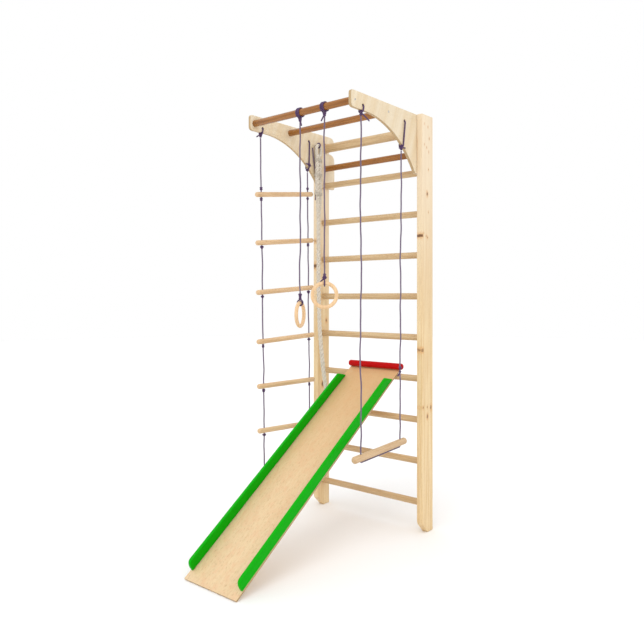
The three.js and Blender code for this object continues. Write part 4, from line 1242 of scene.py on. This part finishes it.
class CLIMB_OT_rungs(bpy.types.Operator):
    """Turns the nine round rungs and the thicker top rail"""

    bl_idname = "climb.rungs"
    bl_label = "Rungs"

    def execute(self, context):
        for name in RUNG_NODES:
            z = middle(name)[2]
            made = rod((-RUNG_HALF, RUNG_Y, z), (RUNG_HALF, RUNG_Y, z), RUNG_RADIUS, 0.001, steps=2)
            shaped(f"{name}_round", made, "rung", "wall_bars", "rung_wood", name)
        outline = stadium(TOP_RAIL[1:], RAIL_STRAIGHT, RAIL_RADIUS)
        made = board(outline, -RUNG_HALF, RUNG_HALF, 0.001, ACROSS, steps=2)
        shaped("top_rail_round", made, "rung", "wall_bars", "rung_wood", "top_rail")
        return {"FINISHED"}


def screw_skin(head, way, length):
    """A countersunk screw: its radius falls from the head's rim to the shank and at the point, and the
    head's face is sunk by a cross whose arms lie where either coordinate is small."""
    sides = 48
    angle = np.linspace(0, TAU, sides, endpoint=False)
    face = np.linspace(0.0004, 0.0049, 12)
    narrow = np.minimum(np.abs(np.cos(angle)), np.abs(np.sin(angle)))[None] * face[:, None]
    sunk = 0.0011 * (1 - np.clip((narrow - 0.0005) / 0.0003, 0, 1))
    sunk *= 1 - np.clip((face[:, None] - 0.0024) / 0.0004, 0, 1)
    rest = np.array([(0.005, 0.0002), (0.0024, 0.003), (0.0024, length - 0.006), (0.0004, length)])
    radii = np.concatenate([np.repeat(face[:, None], sides, 1), np.repeat(rest[:, :1], sides, 1)])
    depth = np.concatenate([sunk, np.repeat(rest[:, 1:], sides, 1)])
    way = np.array(way, float)
    aside, third = np.array([0, 1.0, 0]), np.cross(way, (0, 1.0, 0))
    rings = np.array(head) + radii[..., None] * (
        np.cos(angle)[None, :, None] * aside + np.sin(angle)[None, :, None] * third)
    return skin(rings + depth[..., None] * way)


class CLIMB_OT_screws(bpy.types.Operator):
    """Drives the countersunk screws of the bars and the wall angles"""

    bl_idname = "climb.screws"
    bl_label = "Screws"

    def execute(self, context):
        for side, outward in (("left", -1), ("right", 1)):
            for place in BARS:
                self.screw(f"bar_screw_{place}_{side}", outward)
            for level in LEVELS:
                self.screw(f"angle_screw_{level}_{side}", -1)
        return {"FINISHED"}

    @staticmethod
    def screw(name, outward):
        """A screw that fills its box along X, with its head at the outward end."""
        low, high = corners(name)
        head = middle(name)
        head[0] = high[0] if outward > 0 else low[0]
        made = screw_skin(head, (-outward, 0, 0), high[0] - low[0])
        shaped(f"{name}_head", made, "zinc", "wall_bars", "zinc", name)


class CLIMB_OT_wall_angles(bpy.types.Operator):
    """Bends the four wall angles"""

    bl_idname = "climb.wall_angles"
    bl_label = "Wall angles"

    def execute(self, context):
        for side in SIDES:
            for level in LEVELS:
                self.angle(f"wall_angle_{level}_{side}")
        return {"FINISHED"}

    @staticmethod
    def angle(name):
        """An angle plate: the CAD shape with welded vertices and a small round on every sharp edge."""
        made = linked(name + "_plate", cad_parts[name].data.copy())
        weld = made.modifiers.new("weld", "WELD")
        weld.merge_threshold = 0.00005
        flat = made.modifiers.new("flat", "DECIMATE")
        flat.decimate_type = "DISSOLVE"
        flat.angle_limit = math.radians(3)
        eased = made.modifiers.new("round", "BEVEL")
        eased.width, eased.segments, eased.limit_method = 0.0006, 2, "ANGLE"
        finished = applied(made)
        finished.materials.clear()
        finished.materials.append(finish("zinc"))
        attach(made, "wall_bars")
        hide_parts(name)


# ---- pull-up frame ----

NOSE_HEIGHT, NOSE_ROUND = 0.088, 0.024
ARCH_Y, ARCH_RADIUS = -0.645, 0.575
HOOK_GAP = 0.001                # between a hook and the rung or rail that it hangs on
PLATE_HOLES = {"left": [(-0.672, 2.338), (-0.262, 2.337)], "right": [(-0.668, 2.338), (-0.280, 2.337)]}
SCREW_SEAT_RADIUS, SCREW_SEAT_DEPTH = 0.0055, 0.0034


def plate_outline():
    """The plate's outline in Y and Z: the nose, the arch, the hooks over rung and top rail, the tail."""
    top, nose, tail_y, foot = PLATE_HIGH[2], PLATE_LOW[1], PLATE_HIGH[1], PLATE_LOW[2]
    under, flat = top - NOSE_HEIGHT, NOSE_ROUND * 0.8
    arch = (ARCH_Y, under - ARCH_RADIUS)
    hook = RUNG_RADIUS + HOOK_GAP
    y, rail = TOP_RAIL[1:]
    rail_low, rail_high = rail - RAIL_STRAIGHT, rail + RAIL_STRAIGHT
    end = math.asin((foot - arch[1]) / ARCH_RADIUS)
    horn = (tail_y - 0.026, top - 0.004)
    return np.concatenate([
        [(nose + NOSE_ROUND, under)],
        arc(arch, ARCH_RADIUS, QUARTER, end, 48),
        [(y - hook, foot)],
        arc((y, middle("rung_02")[2]), hook, math.pi, 0, 20),
        [(y + hook, foot)],
        bend((tail_y - 0.012, foot), (tail_y, foot), (tail_y, foot + 0.012)),
        bend((tail_y, rail - 0.078), (tail_y, rail_low - hook), (y + 0.033, rail_low - hook), 12),
        arc((y, rail_low), hook, -QUARTER, -math.pi, 14),
        arc((y, rail_high), hook, math.pi, QUARTER, 14),
        bend((tail_y - 0.004, rail_high + hook), (tail_y - 0.002, top - 0.014), horn),
        bend(horn, (tail_y - 0.038, top), (tail_y - 0.052, top), 5)[1:],
        bend((nose + flat, top), (nose, top), (nose, top - flat)),
        bend((nose, under + NOSE_ROUND), (nose, under), (nose + NOSE_ROUND, under))[:-1],
    ])


class CLIMB_OT_plates(bpy.types.Operator):
    """Saws the two arched plates of the pull-up frame"""

    bl_idname = "climb.plates"
    bl_label = "Plates"

    def execute(self, context):
        for side in SIDES:
            name = f"pullup_plate_{side}"
            low, high = corners(name)
            holes = [circle(TIE_HOLE_RADIUS, centre, 32)[::-1] for centre in PLATE_HOLES[side]]
            face, bottom = "high", high[0] - SCREW_SEAT_DEPTH
            if side == "left":
                face, bottom = "low", low[0] + SCREW_SEAT_DEPTH
                holes.append(circle(LOOSE_TIE_HOLE_RADIUS, (CLIMBING_Y, EYE_HEIGHT), 24)[::-1])
            seats = [(circle(SCREW_SEAT_RADIUS, bar[1:], 32)[::-1], bottom, face) for bar in BARS.values()]
            made = board(plate_outline(), low[0], high[0], settings().plate_ease, ACROSS, holes, seats)
            shaped(f"{name}_arched", made, "plate", "wall_bars", "plywood", name)
        return {"FINISHED"}


class CLIMB_OT_bars(bpy.types.Operator):
    """Turns the three stained bars of the pull-up frame"""

    bl_idname = "climb.bars"
    bl_label = "Pull-up bars"

    def execute(self, context):
        for place, centre in BARS.items():
            start, end = (-BAR_HALF, *centre[1:]), (BAR_HALF, *centre[1:])
            made = rod(start, end, RUNG_RADIUS, 0.0008, steps=2)
            name = f"pullup_bar_{place}"
            shaped(f"{name}_round", made, "brown", "wall_bars", "brown_wood", name)
        return {"FINISHED"}


# ---- hanging bars and rings ----

LADDER_RUNG_LENGTH, LADDER_RUNG_RADIUS = 0.500, 0.015
TRAPEZE_LENGTH, TRAPEZE_RADIUS, TRAPEZE_OVERHANG = 0.475, 0.0185, 0.061


def on_rope(top, foot, height):
    """Where a straight rope from its top to its foot passes a height."""
    top, foot = np.array(top), np.array(foot)
    return top + (foot - top) * (top[2] - height) / (top[2] - foot[2])


def bar_ends(tops, feet, heights, length, overhang=None):
    """The ends of a bar whose axis meets the front and the rear rope at these heights. It lies evenly
    on both, or else runs past the front one by the overhang."""
    front, rear = (on_rope(tops[k], feet[k], heights[k]) for k in ("front", "rear"))
    way = unit(rear - front)
    start = (front + rear) / 2 - way * length / 2 if overhang is None else front - way * overhang
    return start, start + way * length


def drill_lines(tops, feet, height, reach):
    """The stretch of each straight rope within reach of a height."""
    return [[on_rope(tops[k], feet[k], height + r) for r in (reach, -reach)] for k in tops]


class CLIMB_OT_ladder_rungs(bpy.types.Operator):
    """Turns the rope ladder's seven rungs and drills them for its ropes"""

    bl_idname = "climb.ladder_rungs"
    bl_label = "Ladder rungs"

    def execute(self, context):
        for index, pair in enumerate(zip(*LADDER_HEIGHTS.values())):
            heights = dict(zip(LADDER_HEIGHTS, pair))
            start, end = bar_ends(LADDER_TOPS, LADDER_FEET, heights, LADDER_RUNG_LENGTH)
            made = rod(start, end, LADDER_RUNG_RADIUS, settings().bar_ease)
            name = f"ladder_rung_{index + 1}"
            bar = shaped(f"{name}_round", made, "toy", "rope_ladder", "toy_wood", name)
            drill(bar, drill_lines(LADDER_TOPS, LADDER_FEET, (start + end)[2] / 2, 0.05))
        return {"FINISHED"}


class CLIMB_OT_trapeze_bar(bpy.types.Operator):
    """Turns the trapeze's bar and drills it for its rope"""

    bl_idname = "climb.trapeze_bar"
    bl_label = "Trapeze bar"

    def execute(self, context):
        start, end = bar_ends(
            TRAPEZE_TOPS, TRAPEZE_TURNS, TRAPEZE_HEIGHTS, TRAPEZE_LENGTH, TRAPEZE_OVERHANG)
        made = rod(start, end, TRAPEZE_RADIUS, settings().bar_ease)
        bar = shaped("trapeze_bar_round", made, "swing", "trapeze", "toy_wood", "trapeze_bar")
        height = sum(TRAPEZE_HEIGHTS.values()) / 2
        drill(bar, drill_lines(TRAPEZE_TOPS, TRAPEZE_TURNS, height, 0.06))
        return {"FINISHED"}


class CLIMB_OT_gym_rings(bpy.types.Operator):
    """Bends the two wooden gym rings"""

    bl_idname = "climb.gym_rings"
    bl_label = "Gym rings"

    def execute(self, context):
        for side, facing in RINGS.items():
            low, high = corners(f"gym_ring_{side}")
            centre = (low + high) / 2
            radius = (high[2] - low[2]) / 2 - RING_TUBE
            around = circle(radius, count=120)
            across = np.array([math.cos(facing), math.sin(facing), 0])
            path = centre + around[:, :1] * across + around[:, 1:] * UPWARDS
            made = tube(path, RING_TUBE, np.cross(across, UPWARDS), sides=32, closed=True)
            name = f"gym_ring_{side}"
            shaped(f"{name}_round", made, "ring", f"ring_{side}", "toy_wood", name)
        return {"FINISHED"}


# ---- slide ----

SIDE_VIEW_ORIGIN = SLIDE_PIVOT * np.array([0, 1, 1])
# a side view of the slide: up the slope, off the board, and thick along X
BESIDE_SLOPE = axes(SIDE_VIEW_ORIGIN, UP_SLOPE, OFF_SLOPE, (1, 0, 0))
# a view down on the board: along X, up the slope, and thick off the board
ABOVE_SLOPE = axes(SIDE_VIEW_ORIGIN, (1, 0, 0), UP_SLOPE, OFF_SLOPE)
RAIL_HEIGHT, RAIL_FOOT, RAIL_HEAD, RAIL_SLANT = 0.052, 0.050, -0.106, 0.045
HOOK_DEPTH, HOOK_BACK = 0.058, 0.058
HOLLOW_START, HOLLOW_END = math.radians(60), math.radians(-45)      # of a hook's hollow round the rung


class CLIMB_OT_slide_board(bpy.types.Operator):
    """Cuts the slide's thin plywood board"""

    bl_idname = "climb.slide_board"
    bl_label = "Slide board"

    def execute(self, context):
        low_x, high_x = BOARD_LOW[0], BOARD_HIGH[0]
        r = 0.003
        outline = np.concatenate([
            bend((low_x, BOARD_FOOT + r), (low_x, BOARD_FOOT), (low_x + r, BOARD_FOOT), 5),
            bend((high_x - r, BOARD_FOOT), (high_x, BOARD_FOOT), (high_x, BOARD_FOOT + r), 5),
            bend((high_x, BOARD_HEAD - r), (high_x, BOARD_HEAD), (high_x - r, BOARD_HEAD), 5),
            bend((low_x + r, BOARD_HEAD), (low_x, BOARD_HEAD), (low_x, BOARD_HEAD - r), 5),
        ])
        made = board(outline, BOARD_ABOVE_RUNG, BOARD_ABOVE_RUNG + BOARD_THICKNESS, 0.0015, ABOVE_SLOPE)
        shaped("slide_board_face", made, "slide", "slide", "slide_plywood", "slide_board")
        return {"FINISHED"}


class CLIMB_OT_slide_rails(bpy.types.Operator):
    """Planes and paints the slide's two side rails"""

    bl_idname = "climb.slide_rails"
    bl_label = "Slide rails"

    def execute(self, context):
        base = BOARD_ABOVE_RUNG + BOARD_THICKNESS + SEAT_GAP
        top, foot, head = base + RAIL_HEIGHT, BOARD_FOOT + RAIL_FOOT, RAIL_HEAD
        outline = np.concatenate([
            [(foot, base), (head + RAIL_SLANT - 0.002, base), (head + RAIL_SLANT, base + 0.003)],
            bend((head + 0.006, top - 0.008), (head, top), (head - 0.009, top), 6),
            bend((foot + 0.030, top), (foot + 0.012, top), (foot + 0.005, top - 0.016), 8),
            bend((foot + 0.005, top - 0.016), (foot, top - 0.028), (foot, top - 0.040), 8)[1:],
        ])
        for side in SIDES:
            name = f"slide_rail_{side}"
            low, high = corners(name)
            made = board(outline, low[0], high[0], settings().rail_ease, BESIDE_SLOPE)
            shaped(f"{name}_painted", made, "green", "slide", "green_paint", name)
        return {"FINISHED"}


class CLIMB_OT_slide_grip(bpy.types.Operator):
    """Turns and paints the round grip across the slide's head"""

    bl_idname = "climb.slide_grip"
    bl_label = "Slide grip"

    def execute(self, context):
        low, high = corners("slide_grip")
        centre, radius = (low + high) / 2, (high[2] - low[2]) / 2
        made = rod((low[0], *centre[1:]), (high[0], *centre[1:]), radius, 0.012)
        shaped("slide_grip_painted", made, "red", "slide", "red_paint", "slide_grip")
        return {"FINISHED"}


class CLIMB_OT_slide_hooks(bpy.types.Operator):
    """Saws the two hooks that hold the slide to its rung"""

    bl_idname = "climb.slide_hooks"
    bl_label = "Slide hooks"

    def execute(self, context):
        top, bottom = BOARD_ABOVE_RUNG - SEAT_GAP, BOARD_ABOVE_RUNG - HOOK_DEPTH
        grip = RUNG_RADIUS + SEAT_GAP
        outline = np.concatenate([
            arc((0, 0), grip, HOLLOW_START, HOLLOW_END, 16),
            [(grip, bottom)],
            bend((0.050, bottom), (0.056, bottom + 0.003), (HOOK_BACK, bottom + 0.014), 5),
            [(HOOK_BACK, top), (grip * math.cos(HOLLOW_START), top)],
        ])
        for side in SIDES:
            name = f"slide_hook_{side}"
            low, high = corners(name)
            made = board(outline, low[0], high[0], 0.0015, BESIDE_SLOPE, steps=3)
            shaped(f"{name}_cheek", made, "hook", "slide", "plywood", name)
        return {"FINISHED"}


STEPS = (
    CLIMB_OT_camera, CLIMB_OT_ladder_ropes, CLIMB_OT_trapeze_rope, CLIMB_OT_ring_ropes,
    CLIMB_OT_climbing_rope, CLIMB_OT_plate_ties, CLIMB_OT_uprights, CLIMB_OT_rungs, CLIMB_OT_wall_angles,
    CLIMB_OT_screws, CLIMB_OT_plates, CLIMB_OT_bars, CLIMB_OT_ladder_rungs, CLIMB_OT_trapeze_bar,
    CLIMB_OT_gym_rings, CLIMB_OT_slide_board, CLIMB_OT_slide_rails, CLIMB_OT_slide_grip,
    CLIMB_OT_slide_hooks, CLIMB_OT_stage,
)


class CLIMB_PT_panel(bpy.types.Panel):
    """Lists the climbing wall's pieces and settings"""

    bl_idname = "CLIMB_PT_panel"
    bl_label = "Climbing Wall"
    bl_space_type = "VIEW_3D"
    bl_region_type = "UI"
    bl_category = "Climbing Wall"

    def draw(self, context):
        for step in STEPS:
            self.layout.operator(step.bl_idname)
        for name in ClimbingSettings.__annotations__:
            self.layout.prop(context.scene.climbing_wall, name)


CLASSES = (ClimbingSettings, *STEPS, CLIMB_PT_panel)


def register():
    for one in CLASSES:
        bpy.utils.register_class(one)
    bpy.types.Scene.climbing_wall = PointerProperty(type=ClimbingSettings)


def unregister():
    del bpy.types.Scene.climbing_wall
    for one in reversed(CLASSES):
        bpy.utils.unregister_class(one)


def main():
    """Makes every piece in order."""
    register()
    for step in STEPS:
        group_name, operator = step.bl_idname.split(".")
        getattr(getattr(bpy.ops, group_name), operator)()


if __name__ == "__main__":
    main()
